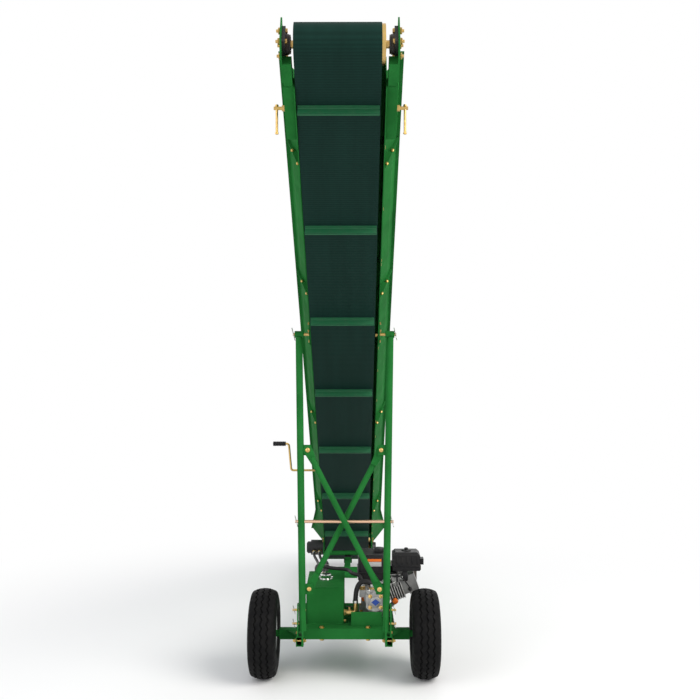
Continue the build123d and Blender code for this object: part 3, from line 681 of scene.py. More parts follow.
def tyre_shape(settings, centre, radius):
    """Tyre with zigzag grooves and shoulder notches about the X axis."""
    steps = settings.waves * WAVE_STEPS
    columns = tread_columns(settings, radius)
    count = len(columns)
    inside, outside = NOTCH_RADII
    points = []
    for k in range(steps):
        turn = 2 * math.pi * k / steps
        phase = (k % WAVE_STEPS) / WAVE_STEPS
        swing = settings.swing * (1 - 4 * abs(phase - 0.5))
        notch = NOTCH_DEPTH if k % WAVE_STEPS in NOTCH_STEPS else 0.0
        for x, r, share in columns:
            reach = r - (notch if inside < r < outside and abs(x) > NOTCH_FROM_X else 0.0)
            across = x + swing * share
            points.append(centre + Vector((across, reach * math.sin(turn), -reach * math.cos(turn))))
    faces = []
    for k in range(steps):
        n = (k + 1) % steps
        for c in range(count):
            d = (c + 1) % count
            faces.append((k * count + c, k * count + d, n * count + d, n * count + c))
    return points, faces


class CONVEYOR_OT_tyres(bpy.types.Operator):
    """Trailer tyres with zigzag grooves, wheel bolts and valves"""

    bl_idname = "conveyor.tyres"
    bl_label = "Tyres"

    def execute(self, context):
        settings = context.scene.conveyor_tread
        bolt = hex_bolt(context.scene.conveyor_fasteners.head)
        for side, sign in (("left", -1), ("right", 1)):
            node = "tyre_" + side
            body = "wheel_" + side
            centre = middle(node)
            radius = (high(node).z - low(node).z) / 2
            tyre = piece("treaded_" + node, [tyre_shape(settings, centre, radius)], "tyre", body)
            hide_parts(node)
            stations = []
            for degrees in (45, 135, 225, 315):
                turn = math.radians(degrees)
                ring = Vector((0, math.sin(turn), math.cos(turn))) * WHEEL_BOLT_R
                out = X_AXIS * sign
                stations.append((centre + out * WHEEL_FACE + ring, out, Y_AXIS, 1.25))
            scatter("wheel_bolts_" + side, bolt, stations, "bright", body)
            stem = [centre + Vector((sign * out, 0, up)) for out, up in VALVE_STEM]
            piece("valve_" + side, [tube(stem, 0.0042)], "rubber", body)
        return {"FINISHED"}


# Bolts and clips: places in millimetres, sizes as shares of an M8 head


def hex_bolt(head):
    """Hexagon head on a washer, standing on Z = 0."""
    washer = ((1.25, 0), (1.25, 0.2), (1.1, 0.24))
    hexagon = ((1.08, 0.2), (1.15, 0.28), (1.15, 0.78), (0.92, 0.92))
    return [
        lathe([(r * head, h * head) for r, h in profile], sides)
        for profile, sides in ((washer, 18), (hexagon, 6))
    ]


def hex_nut(head):
    """Nut on a washer with the bolt's end standing through it."""
    stud = ((0.55, 0.8), (0.55, 1.45), (0.45, 1.55))
    return hex_bolt(head) + [lathe([(r * head, h * head) for r, h in stud], 12)]


CLIP_RING_R = 0.0065
CLIP_HUMP = ((-8, 6), (-2, 9.5), (4, 6), (9, 3.6), (15, 5.5), (21, 9))


def r_clip(wire):
    """Spring clip of round wire: straight leg along X, humped leg and a ring at its end."""
    centre = Vector((-0.020, 0, CLIP_RING_R))
    ring = []
    for k in range(15):
        turn = math.radians(270 - 330 * k / 14)
        ring.append(centre + Vector((math.cos(turn), 0, math.sin(turn))) * CLIP_RING_R)
    hump = [Vector((x * MM, 0, z * MM)) for x, z in CLIP_HUMP]
    leg = [Vector((0.026, 0, 0)), Vector((0.004, 0, 0))]
    return [tube(leg + ring + hump, wire, 8)]


def both(points):
    """Points and their mirror images across the middle."""
    return points + [Vector((-p.x, p.y, p.z)) for p in points]


def bolts_at(points, facing, size):
    """Stations on points that all face one way, or out to or in from each side."""
    rows = []
    for p in points:
        outwards = X_AXIS if p.x > 0 else -X_AXIS
        towards = {"out": outwards, "in": -outwards}[facing] if isinstance(facing, str) else Vector(facing)
        rows.append((p, towards, towards.orthogonal(), size))
    return rows


# Upright frame: across at its foot and top, brace ends, tie rod, lock pins
FOOT_X = 211.0
TOP_X = 237.0
# (up the upright, bolt's distance inside the upright)
BRACE_UPPER = (965.0, 38.0)
BRACE_LOWER = (259.0, 36.0)
BRACE_OUTER_FACE = 11.2
BRACE_INNER_FACE = 3.2
ROD_S = 600.0
LOCK_S = (86.0, 154.0)
# Across: clips on the lock pins, tie rod and top pins, and nuts at the uprights' feet
LOCK_CLIP_X = 256.0
ROD_CLIP_X = 246.0
PIVOT_CLIP_X = 265.5
FOOT_NUT_X = 207.0
# (across, behind the uprights' plane, up the upright)
POST_BOLT = (239.6, 0, 40)
# (across, behind the axle) on the deck; the first two also go through the axle
DECK_BOLTS = ((-118.0, -8.0), (122.0, -8.0), (-140.0, 455.0), (140.0, 455.0))
ENGINE_FEET = tuple((x, y, 31.0) for x in (88.0, 232.0) for y in (198.0, 332.0))


def chassis_stations():
    """Bolt heads on the running gear, with their facing."""
    rows = []
    for (s, inset), towards in ((BRACE_UPPER, -1), (BRACE_LOWER, 1)):
        x = FOOT_X + (TOP_X - FOOT_X) * s / UPRIGHT_MM - inset
        for sign in (-1, 1):
            face = -sign * towards
            rows += bolts_at([on_upright(sign * x, face * BRACE_OUTER_FACE, s)], BACK * face, 1.25)
            rows += bolts_at([on_upright(sign * x, -face * BRACE_INNER_FACE, s)], -BACK * face, 1.15)
    rows += bolts_at([on_deck(x, y, 0) for x, y in DECK_BOLTS], Z_AXIS, 1.4)
    axle_low = low("axle").z / MM
    rows += bolts_at([site(x, y, axle_low) for x, y in DECK_BOLTS[:2]], -Z_AXIS, 1.4)
    rows += bolts_at(both([Vector((high("front_stubs").x, FOOT.y, FOOT.z))]), "out", 1.2)
    rows += bolts_at(both([FOOT + X_AXIS * (FOOT_NUT_X * MM)]), "in", 1.2)
    rows += bolts_at([on_deck(*foot) for foot in ENGINE_FEET], Z_AXIS, 1.0)
    rows += bolts_at(both([on_upright(*POST_BOLT)]), "out", 0.9)
    return rows


# Places up the slope: bolts of the sideboards, cross tubes, brackets, tail rest and winch
BOARD_P = (-100, 120, 330, 560, 880, 1340, 1700, 2160, 2500, 2860, 3520, 3900, 4460, 4640)
TUBE_P = (300, 1100, 1928, 2756, 3500, 4300)
BRACKET_P = (4220, 3280, 1928, 600)
REST_P = 300
WINCH_P = 1410
# Bolt patterns as (up the slope, off the drum plane) from those places
HUB_BOLTS = ((-34, -34), (34, -34), (34, 34), (-34, 34))
BEARING_BOLTS = ((-34, -24), (34, -24), (34, 34), (-34, 34))
PIN_PLATE_BOLTS = ((-48, -82), (48, -82), (48, -36), (-48, -36))
REST_BOLTS = ((-24, -62), (24, -62))
WINCH_BOLTS = ((-34, -7), (34, -7), (34, -53), (-34, -53))
# (out from the web, off the drum plane)
BRACKET_BOLTS = ((14, 40), (40, 118))
BEARING_DEPTH = 19.0


def pattern(u, p, bolts):
    """Points of a bolt pattern at a distance across and a place up the slope."""
    return [on_belt(u, p + dp, v) for dp, v in bolts]


def conveyor_stations():
    """Bolt heads on the trough and its ends, with their facing."""
    rows = bolts_at(both([on_belt(WEB_MM + 3, p, 68) for p in BOARD_P]), "out", 0.9)
    rows += bolts_at(both([on_belt(WEB_MM, p + 20, 42) for p in TUBE_P]), "out", 1.0)
    rows += bolts_at(pattern(WEB_MM + 14, 0, HUB_BOLTS), X_AXIS, 1.1)
    rows += bolts_at(pattern(-WEB_MM - 12, 0, HUB_BOLTS), -X_AXIS, 1.1)
    rows += bolts_at(both(pattern(EAR_MM - BEARING_DEPTH, RUN_MM, BEARING_BOLTS)), "in", 1.1)
    brackets = [on_belt(WEB_MM + u, p + 5, v) for p in BRACKET_P for u, v in BRACKET_BOLTS]
    rows += bolts_at(both(brackets), ALONG, 0.85)
    rows += bolts_at(both(pattern(WEB_MM + 6, PIN_MM, PIN_PLATE_BOLTS)), "out", 0.9)
    rows += bolts_at(both(pattern(WEB_MM + 6, REST_P, REST_BOLTS)), "out", 1.1)
    rows += bolts_at(pattern(-WEB_MM, WINCH_P, WINCH_BOLTS), -X_AXIS, 1.0)
    return rows


class CONVEYOR_OT_fasteners(bpy.types.Operator):
    """Bolt heads, nuts and spring clips"""

    bl_idname = "conveyor.fasteners"
    bl_label = "Fasteners"

    def execute(self, context):
        sizes = context.scene.conveyor_fasteners
        bolt = hex_bolt(sizes.head)
        scatter("chassis_bolts", bolt, chassis_stations(), "zinc", "chassis")
        scatter("conveyor_bolts", bolt, conveyor_stations(), "zinc", "conveyor")
        nuts = bolts_at(both(pattern(EAR_MM, RUN_MM, BEARING_BOLTS)), "out", 1.45)
        scatter("bearing_nuts", hex_nut(sizes.head), nuts, "zinc", "conveyor")
        clip = r_clip(sizes.wire)
        down = Vector((0.25, -0.2, -1)).normalized()
        pins = [(LOCK_CLIP_X, s, 0.9) for s in LOCK_S] + [(ROD_CLIP_X, ROD_S, 1.15)]
        rows = []
        for x, s, size in pins:
            rows += [(at, -BACK, down, size) for at in both([on_upright(x, 0, s)])]
        scatter("lock_clips", clip, rows, "bright", "chassis")
        tops = both([PIVOT + X_AXIS * (PIVOT_CLIP_X * MM)])
        rows = [(at, -Y_AXIS, down, 1.3) for at in tops]
        scatter("pivot_clips", clip, rows, "bright", "conveyor")
        return {"FINISHED"}


# Welds, in metres

BEAD_R = 0.0032
TANK_BEAD_R = 0.0026
BEAD_STEP = 0.0016
# Across: inner and outer face of the front stubs, and the gussets' tips
STUB_IN = 0.215
STUB_OUT = 0.245
GUSSET_TIP = 0.301
TONGUE_HALF = 0.02
TONGUE_DEPTH = 0.04
STAND_PLATE = 0.008


def weld(*corners, radius=BEAD_R):
    """Weld bead along straight runs between corners, rippled by its own drops."""
    path = [Vector(c) for c in corners]
    spaced = []
    for a, b in zip(path, path[1:]):
        count = max(2, int((b - a).length / BEAD_STEP))
        spaced += [a.lerp(b, k / count) for k in range(count)]
    spaced.append(path[-1])
    ripple = len(spaced)
    return tube(spaced, lambda t: radius * (0.86 + 0.16 * abs(math.sin(t * ripple * 0.8))), 6)


class CONVEYOR_OT_welds(bpy.types.Operator):
    """Weld beads where tubes and plates meet"""

    bl_idname = "conveyor.welds"
    bl_label = "Welds"

    def execute(self, context):
        front, rear = low("axle").y, high("axle").y
        bottom, top = low("axle").z, high("axle").z
        root = low("crossmember").z
        cross_front, cross_back = low("crossmember").y, high("crossmember").y
        level = high("stub_gussets").z
        runs = []
        for sign in (-1, 1):
            inner, outer, tip = (sign * x for x in (STUB_IN, STUB_OUT, GUSSET_TIP))
            rail_in = sign * high("crossmember").x
            rail_out = sign * high("chassis_rail_right").x
            runs += [
                ((inner, front, top), (outer, front, top)),
                ((inner, front, top), (inner, front, bottom)),
                ((rail_in, rear, bottom), (rail_out, rear, bottom)),
                ((tip, front, level), (outer, front, level)),
                ((outer, front, level), (outer, low("stub_gussets").y, level)),
            ]
            runs += [((rail_in, y, root), (rail_in, y, top)) for y in (cross_front, cross_back)]
        half = TONGUE_HALF
        crown = root + TONGUE_DEPTH
        runs.append(((-half, cross_back, crown), (half, cross_back, crown)))
        runs += [((x, cross_back, root), (x, cross_back, crown)) for x in (-half, half)]
        foot = low("tail_stand").z + STAND_PLATE
        leg = middle("tail_stand").y
        corners = ((-half, -half), (half, -half), (half, half), (-half, half), (-half, -half))
        runs.append([(x, leg + y, foot) for x, y in corners])
        beads = [weld(*run) for run in runs]
        lo, hi = low("hydraulic_tank"), high("hydraulic_tank")
        for z in (lo.z, hi.z - 0.002):
            beads.append(weld((lo.x + 0.01, lo.y, z), (hi.x - 0.01, lo.y, z), radius=TANK_BEAD_R))
        piece("chassis_welds", beads, "green", "chassis")
        return {"FINISHED"}


# Cleats, in millimetres

BELT_SAG = 52.0
DRUM_R = 75.0
BELT_T = 5.0
BELT_SHIFT = -8.0
CLEAT_COUNT = 15
CLEAT_FIRST = 238.0
CLEAT_HALF = 158.6
# Half section as (along the belt, off the belt)
CLEAT_SECTION = ((17.5, 0), (17.5, 3.5), (16.5, 4.8), (9.5, 5.6), (6.2, 9.0), (5.6, 33.0), (4.2, 35.6))


def cleat_stations():
    """Cleats round the belt, from the sagging return run round the tail drum to the carrying run."""
    half = RUN_MM / 2
    centre = DRUM_R + BELT_T / 2
    face = DRUM_R + BELT_T
    arc_r = (half**2 + BELT_SAG**2) / (2 * BELT_SAG)
    arc_v = math.sqrt(arc_r**2 - half**2)
    dip = math.asin(half / arc_r)
    back = 2 * dip * (arc_r + centre)
    wrap = math.pi * centre
    pitch = (RUN_MM + back + 2 * wrap) / CLEAT_COUNT
    rows = []
    for k in range(CLEAT_COUNT):
        run = CLEAT_FIRST + k * pitch
        if run < back:
            turn = dip - run / back * 2 * dip
            facing = ALONG * math.sin(turn) - NORMAL * math.cos(turn)
            p = half + (arc_r + face) * math.sin(turn)
            v = arc_v - (arc_r + face) * math.cos(turn)
        elif run < back + wrap:
            turn = math.pi * (run - back) / wrap
            facing = -ALONG * math.sin(turn) - NORMAL * math.cos(turn)
            p = -face * math.sin(turn)
            v = -face * math.cos(turn)
        else:
            facing = NORMAL
            p = run - back - wrap
            v = face
        rows.append((on_belt(BELT_SHIFT, p, v), facing, X_AXIS, 1.0))
    return rows


class CONVEYOR_OT_cleats(bpy.types.Operator):
    """Moulded cleats over the belt's ribs"""

    bl_idname = "conveyor.cleats"
    bl_label = "Cleats"

    def execute(self, context):
        right = [(a * MM, h * MM) for a, h in CLEAT_SECTION]
        left = [(-a, h) for a, h in right]
        outline = left[:1] + right + left[:0:-1]
        stand = Matrix(((0, 0, 1, 0), (1, 0, 0, 0), (0, 1, 0, 0), (0, 0, 0, 1)))
        bar = put(prism(outline, -CLEAT_HALF * MM, CLEAT_HALF * MM), stand)
        scatter("belt_cleats", [bar], cleat_stations(), "cleat", "conveyor")
        return {"FINISHED"}


# Engine: places in millimetres, crankshaft given across and above the deck

FUEL_MM = low("fuel_tank").z / MM
AIR_MM = low("air_cleaner").z / MM
CRANK_X = 162.0
CRANK_H = 125.0
STARTER_Y = 446.0
STARTER_RIBS = 14
STARTER_R = 0.038
AIR_KNOB = (334, 262)
FIN_SLANT = math.radians(20.0)
FIN_ROOT = (CRANK_X + 15, 268, CRANK_H - 14)
FIN_PITCH = 0.013
FIN_FIRST = 0.062
FIN_COUNT = 7
GUARD_BARS = 9


def smooth_path(points):
    """Points along a smooth line through a route's corners."""
    curve = bpy.data.curves.new("route", "CURVE")
    curve.dimensions = "3D"
    spline = curve.splines.new("NURBS")
    spline.points.add(len(points) - 1)
    for target, p in zip(spline.points, points):
        target.co = (*p, 1.0)
    spline.order_u = 3
    spline.use_endpoint_u = True
    spline.resolution_u = 10
    holder = bpy.data.objects.new("route", curve)
    bpy.context.scene.collection.objects.link(holder)
    graph = bpy.context.evaluated_depsgraph_get()
    mesh = bpy.data.meshes.new_from_object(holder.evaluated_get(graph))
    path = [v.co.copy() for v in mesh.vertices]
    bpy.data.objects.remove(holder, do_unlink=True)
    bpy.data.curves.remove(curve)
    bpy.data.meshes.remove(mesh)
    return path


def starter_and_lids():
    """Starter cover, seams and cap of the fuel tank, air cleaner lid."""
    crank = on_deck(CRANK_X, STARTER_Y, CRANK_H)
    slots = []
    for k in range(STARTER_RIBS):
        turn = 2 * math.pi * k / STARTER_RIBS
        spoke = Vector((math.cos(turn), 0, math.sin(turn)))
        slots.append((crank + spoke * STARTER_R, Y_AXIS, spoke, 1.0))
    rib = block((0.028, 0.006, 0.006), 0.0015)
    scatter("starter_ribs", [rib], slots, "plastic", "chassis")
    black = [
        box_at((67, 186, 40), (226, 404, 47), 3, FUEL_MM),
        turned(site(186, 290, FUEL_MM + 138), Z_AXIS, [(31, 4), (31, 18), (28, 22), (10, 23)], 12),
        box_at((254, 192, 22), (411, 330, 30), 3, AIR_MM),
        turned(site(*AIR_KNOB, AIR_MM + 96), Z_AXIS, [(26, 0), (26, 6), (20, 8)]),
        turned(crank, Y_AXIS, [(22, 0), (22, 5), (17, 8)]),
        put(block((0.070, 0.016, 0.022), 0.007, 3), Matrix.Translation(on_deck(220, 452, 170))),
        box_at((176, 436, 156), (196, 448, 176), 3),
    ]
    black += [box_at((x, 193.6, 36), (x + 10, 199, 78), 1.5, AIR_MM) for x in (276, 304, 332, 360, 388)]
    piece("engine_black_trim", black, "plastic", "chassis")
    nut = turned(site(*AIR_KNOB, AIR_MM + 104), Z_AXIS, [(9, 0), (11, 2), (11, 7), (7, 10)], 12)
    piece("air_lid_nut", [nut], "plastic", "chassis")
    lean = on_deck(268, 190, CRANK_H - 42) - on_deck(228, 205, CRANK_H - 84)
    caps = turned_on_deck(
        (
            ((268, 190, CRANK_H - 42), lean, [(15, -2), (15, 14), (12, 18), (6, 19)], 14),
            ((101, 196, 100), -Y_AXIS, [(13, 0), (13, 14), (10, 18), (6, 18)], 14),
        )
    )
    piece("oil_caps", caps, "cap", "chassis")


def carburettor():
    """Carburettor with its choke, fuel line and links."""
    metal = turned_on_deck(
        (
            ((272, 176, 197), -Z_AXIS, [(18, 0), (18, 16), (14, 24), (5, 25)], 20),
            ((296, 178, 214), X_AXIS, [(14, 0), (14, 10), (17, 10), (17, 15)], 20),
            ((262, 161, 222), -Y_AXIS, [(6, 0), (6, 5), (3, 6), (3, 12)], 12),
            ((220, 196, 52), -Y_AXIS, [(10, 0), (10, 4), (7, 5), (7, 12)], 6),
        )
    )
    metal.append(box_at((250, 160, 196), (296, 196, 230), 5))
    piece("carburettor", metal, "aluminium", "chassis")
    line = ((214, 186, 197), (222, 168, 186), (240, 160, 190), (256, 164, 204))
    dark = [
        box_at((308, 164, 200), (340, 212, 250), 7),
        box_at((254, 152, 224), (290, 156, 236), 1.5),
        box_at((276, 150, 200), (284, 156, 230), 1.5),
        tube(smooth_path([on_deck(*p) for p in line]), 0.004),
    ]
    piece("carburettor_black_parts", dark, "plastic", "chassis")
    links = (
        ((196, 178, 178), (262, 154, 230)),
        ((206, 176, 160), (280, 152, 206)),
        ((236, 156, 238), (300, 154, 238)),
    )
    rods = [tube([on_deck(*start), on_deck(*end)], 0.0016, 8) for start, end in links]
    piece("carburettor_links", rods, "bright", "chassis")


def cylinder_fins():
    """Edges of the cooling fins with dark gaps between them, and the spark lead."""
    reach = Vector((math.cos(FIN_SLANT), 0, math.sin(FIN_SLANT)))
    root = on_deck(*FIN_ROOT)
    fins = [(root + reach * (FIN_FIRST + FIN_PITCH * k), reach, Y_AXIS, 1.0) for k in range(FIN_COUNT)]
    gaps = [(at + reach * (FIN_PITCH / 2), *turn) for at, *turn in fins[:-1]]
    dark = block((0.122, 0.112, 0.006), 0.0)
    scatter("fin_shadows", [dark], gaps, "iron", "chassis")
    edge = block((0.1295, 0.1195, 0.0046), 0.001, 1)
    scatter("fin_edges", [edge], fins, "bright", "chassis")
    lead = ((352, 214, 150), (354, 180, 152), (340, 160, 185), (290, 150, 240), (236, 170, 246))
    lead += ((238, 330, 215), (240, 345, 170))
    wire = tube(smooth_path([on_deck(*p) for p in lead]), 0.0035, 8)
    piece("spark_lead", [wire], "rubber", "chassis")
    boot = turned(on_deck(*lead[0]), -Y_AXIS, [(9, 0), (11, 6), (9, 28), (5, 34)], 14)
    piece("spark_boot", [boot], "rubber", "chassis")


def throttle():
    """Throttle's plate, lever and knob."""
    lever = [
        box_at((120, 182, 176), (212, 186, 196), 1),
        tube([on_deck(190, 180, 184), on_deck(214, 172, 214)], 0.004, 8),
    ]
    piece("throttle_plate", lever, "bright", "chassis")
    knob = turned(on_deck(214, 172, 212), (0.5, -0.2, 0.6), [(6, 0), (9, 6), (9, 16), (5, 20)], 14)
    piece("throttle_knob", [knob], "cap", "chassis")


def muffler_guard():
    """Bars and rails over the muffler's face, with its outlet."""
    lo, hi = low("muffler") / MM, high("muffler") / MM
    y0, y1 = (y - AXLE.y / MM for y in (lo.y, hi.y))
    z_mid = (lo.z + hi.z) / 2
    step = (hi.x - lo.x - 36) / (GUARD_BARS - 1)
    rows = []
    for k in range(GUARD_BARS):
        rows.append((site(lo.x + 18 + k * step, y1 + 2.0, z_mid), Y_AXIS, X_AXIS, 1.0))
    bar = block((0.008, (hi.z - lo.z - 34) * MM, 0.0045), 0.0015)
    scatter("muffler_guard_bars", [bar], rows, "muffler", "chassis")
    guard = []
    for z in (lo.z + 14, hi.z - 22):
        guard.append(box_at((lo.x + 6, y1 + 0.2, 0), (hi.x - 6, y1 + 4.4, 8), 1.2, z))
    outlet = [(13, 0), (13, 26), (10.5, 26), (10.5, 8)]
    guard.append(turned(site(hi.x, (y0 + y1) / 2, z_mid + 18), X_AXIS, outlet, 20))
    piece("muffler_guard", guard, "muffler", "chassis")


def blank_plates():
    """Two colour fields without lettering on the fuel tank."""
    for name, z0, z1, finish, slot in (
        ("blank_tank_plate", 104.5, 119, "cap", "black_plastic"),
        ("blank_grey_plate", 79, 103.5, "plate", "aluminium"),
    ):
        plate = box_at((122, 188.4, z0), (197, 190.6, z1), 0.8, FUEL_MM)
        piece(name, [plate], finish, "chassis")


class CONVEYOR_OT_engine(bpy.types.Operator):
    """Engine trim: caps, lids, carburettor, fins, starter cover, muffler guard, blank plates"""

    bl_idname = "conveyor.engine"
    bl_label = "Engine"

    def execute(self, context):
        for step in (starter_and_lids, carburettor, cylinder_fins, throttle, muffler_guard, blank_plates):
            step()
        return {"FINISHED"}


# Hydraulics: places in millimetres

# Pump's cover as half an outline of (across, up), its thickness, and its blank plate's half sizes
COVER_HALF = (
    (10, -58),
    (18, -45),
    (36, -42),
    (42, -30),
    (33, -12),
    (33, 12),
    (42, 30),
    (36, 42),
    (18, 45),
    (10, 58),
)
COVER_T = 12.0
PLATE_HALF = (22.5, 18.0)
# Pump's suction and pressure ports, suction valve and filter, as (across, behind the axle)
SUCTION = (CRANK_X - 18, 80)
PUMP_PORT = (92, 134)
VALVE = (57, 80)
FILTER = (-105, 245)
FILTER_PORT_X = -120
FILTER_PORT_Z = TANK_MM + 16
# Tail motor: its ports across, behind and below the drum's middle, and its end out from the web
RETURN_X = -219.0
PRESSURE_X = -261.0
PORT_BACK = 84.0
PORT_DROP = 22.0
MOTOR_END = 112.0


def pump(bolt):
    """Star-shaped pump cover with its bolts, blank plate and mounting ring."""
    front = (low("hydraulic_pump").y - AXLE.y) / MM
    cover = [(x * MM, z * MM) for x, z in COVER_HALF]
    cover += [(-x, z) for x, z in reversed(cover)]
    stand = aim(on_deck(CRANK_X, front, CRANK_H), -Y_AXIS, X_AXIS)
    shapes = [put(prism(cover, 0.0, COVER_T * MM), stand)]
    shapes += turned_on_deck(
        (
            ((CRANK_X, front - COVER_T, CRANK_H), -Y_AXIS, [(28, 0), (28, 5), (22, 8)], 28),
            ((CRANK_X, 131, CRANK_H), -Y_AXIS, [(60, -8), (60, 8)], 36),
            ((CRANK_X - 38, front, CRANK_H + 50), -Y_AXIS, [(13, -40), (13, 6), (10, 9)], 20),
        )
    )
    piece("pump_cover", shapes, "aluminium", "chassis")
    rows = []
    for dx in (-28, 28):
        for dz in (-29, 29):
            at = on_deck(CRANK_X + dx, front - COVER_T, CRANK_H + dz)
            rows.append((at, -Y_AXIS, X_AXIS, 1.15))
    scatter("pump_bolts", bolt, rows, "zinc", "chassis")
    wide, tall = (d * MM for d in PLATE_HALF)
    diamond = prism([(-wide, 0), (0, -tall), (wide, 0), (0, tall)], 0.0, 0.0012)
    plate = put(diamond, aim(on_deck(CRANK_X, front - 20, CRANK_H), -Y_AXIS, X_AXIS))
    piece("blank_pump_plate", [plate], "blue", "chassis")


HEX_PROFILE = [(15, 0), (16.5, 2), (16.5, 18), (14, 20)]


def hose_fittings():
    """Nuts and ferrules on the pump, tank and motor, and the suction valve's lever."""
    wall = high("hydraulic_tank").x / MM
    port = FILTER_PORT_Z - DECK_MM
    nuts = (
        ((*SUCTION, CRANK_H + 56), Z_AXIS, [(20, 0), (21, 2), (21, 8), (18, 10)], 6),
        ((*PUMP_PORT, CRANK_H + 39), Z_AXIS, HEX_PROFILE, 6),
        ((wall, 80, 56), X_AXIS, [(20, 0), (20, 3), (17, 3), (17, 14)], 6),
        ((wall, 76, 12), X_AXIS, [(9, 0), (9, 10), (7, 12)], 6),
        ((FILTER_PORT_X, 272, port), Y_AXIS, [(13, 0), (14, 2), (14, 14), (12, 16)], 6),
    )
    piece("hydraulic_nuts", turned_on_deck(nuts), "zinc", "chassis")
    piece("valve_lever", [box_at((6, 76, 86), (58, 84, 90), 1.5)], "iron", "chassis")
    ends = []
    tails = []
    for x in (RETURN_X, PRESSURE_X):
        at = TAIL + Vector((x, -PORT_BACK, -PORT_DROP)) * MM
        ends.append(turned(at + Y_AXIS * 0.026, -Y_AXIS, HEX_PROFILE, 6))
        tails.append(turned(at + Y_AXIS * 0.010, -Y_AXIS, [(12.5, 0), (13, 3), (13, 36), (11, 39)], 20))
    piece("motor_nuts", ends, "zinc", "conveyor")
    piece("motor_ferrules", tails, "bright", "conveyor")
    sleeve = [(12.5, 0), (13, 3), (13, 24), (11, 27)]
    band = [(14.5, 0), (14.5, 12), (13.5, 12)]
    ferrules = (
        ((*PUMP_PORT, CRANK_H + 56), Z_AXIS, sleeve, 20),
        ((FILTER_PORT_X, 290, port), Y_AXIS, sleeve, 20),
        ((*SUCTION, CRANK_H + 70), Z_AXIS, band, 24),
        ((*VALVE, 108), Z_AXIS, band, 24),
    )
    piece("hose_ferrules", turned_on_deck(ferrules), "bright", "chassis")


def filter_and_motor():
    """Head of the return filter, and rings and lid on the tail motor."""
    seat = site(*FILTER, TANK_MM)
    dome = [
        turned(seat, Z_AXIS, [(35, 0), (35, 5), (30, 7)], 32),
        turned(seat + Z_AXIS * 0.010, Z_AXIS, [(29, 0), (30, 2), (30, 17), (26, 21), (10, 22)], 32),
    ]
    for sign in (-1, 1):
        lug = seat + Vector((sign * 0.033, 0, 0.012))
        dome.append(put(block((0.014, 0.010, 0.012), 0.002), Matrix.Translation(lug)))
    piece("filter_head", dome, "chrome", "chassis")
    end = TAIL - X_AXIS * ((WEB_MM + MOTOR_END) * MM)
    rings = [turned(end - X_AXIS * 0.026, -X_AXIS, [(39, 0), (39, 6), (34, 8)], 28)]
    for dx in (0.020, 0.034, 0.048):
        rings.append(turned(end + X_AXIS * dx, X_AXIS, [(57.5, 0), (59.2, 2), (57.5, 4)], 32))
    piece("motor_rings", rings, "iron", "conveyor")


class CONVEYOR_OT_hydraulics(bpy.types.Operator):
    """Pump cover, fittings, filter head and motor rings"""

    bl_idname = "conveyor.hydraulics"
    bl_label = "Hydraulics"

    def execute(self, context):
        pump(hex_bolt(context.scene.conveyor_fasteners.head))
        hose_fittings()
        filter_and_motor()
        return {"FINISHED"}


# Hoses: routes in millimetres from the ground below the axle's middle

HOSE_R = 10.0
SUCTION_R = 13.0
PRESSURE_RAIL_X = -151.0
RETURN_RAIL_X = -129.0
RAIL_END = 1450.0
# Slung part as (behind the axle, share of the way down from the rail to the motor's port)
SLING = ((1600, 0.1), (1900, 0.66), (2100, 0.92), (2260, 1.0))
CLIP_Y = (1385, 1403)


class CONVEYOR_OT_hoses(bpy.types.Operator):
    """Hydraulic hoses on their routes"""

    bl_idname = "conveyor.hoses"
    bl_label = "Hoses"

    def execute(self, context):
        crank_z = DECK_MM + CRANK_H
        over = TANK_MM + 42
        port = FILTER_PORT_Z
        on_rail = high("axle").z / MM + HOSE_R + 0.5
        motor_y = (TAIL.y - AXLE.y) / MM - PORT_BACK
        motor_z = TAIL.z / MM - PORT_DROP
        press = [(*PUMP_PORT, crank_z + 58), (*PUMP_PORT, over + 6), (36, 190, over + 2), (20, 300, over)]
        press += [(-90, 330, over), (-165, 440, over), (-168, 570, over - 100)]
        back = [(FILTER_PORT_X, 292, port), (FILTER_PORT_X, 470, port), (-140, 580, port - 78)]
        routes = (
            ("pressure_hose", press, PRESSURE_RAIL_X, PRESSURE_X),
            ("return_hose", back, RETURN_RAIL_X, RETURN_X),
        )
        for name, points, x0, x1 in routes:
            points += [(x0, 760, on_rail + 60)] + [(x0, y, on_rail) for y in (960, 1380, RAIL_END)]
            for y, share in SLING:
                x = x0 + (x1 - x0) * (y - RAIL_END) / (motor_y - RAIL_END)
                points.append((x, y, on_rail + (motor_z - on_rail) * share))
            points += [(x1, motor_y - 110, motor_z), (x1, motor_y, motor_z)]
            path = smooth_path([site(*p) for p in points])
            hose = piece("smooth_" + name, [tube(path, HOSE_R * MM, 16)], "rubber", None)
            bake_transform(hose)
            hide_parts(name)
        bend = crank_z + 94
        suction = [(*SUCTION, crank_z + 68), (*SUCTION, bend), (*VALVE, bend), (*VALVE, DECK_MM + 106)]
        thick = tube(smooth_path([site(*p) for p in suction]), SUCTION_R * MM, 18)
        hose = piece("smooth_suction_hose", [thick], "rubber", "chassis")
        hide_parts("suction_hose")
        y0, y1 = CLIP_Y
        clip = [box_at((-164, y0, 9.8), (-116, y1, 12), 0.8, on_rail)]
        for x, foot in ((-164, -155), (-118, -125)):
            clip.append(box_at((x, y0, -26), (x + 2, y1, 11), 0.5, on_rail))
            clip.append(box_at((min(x, foot), y0, -26), (max(x + 2, foot), y1, -23), 0.5, on_rail))
        piece("hose_clip", clip, "bright", "chassis")
        return {"FINISHED"}


# Conveyor ends and handles: profiles in millimetres, places in metres

# Ear plate's thickness in millimetres
EAR_T = 6.0
DRUM_FACE = 0.168
HANDLE_X = 0.250
GRIP_RIDGES = 7


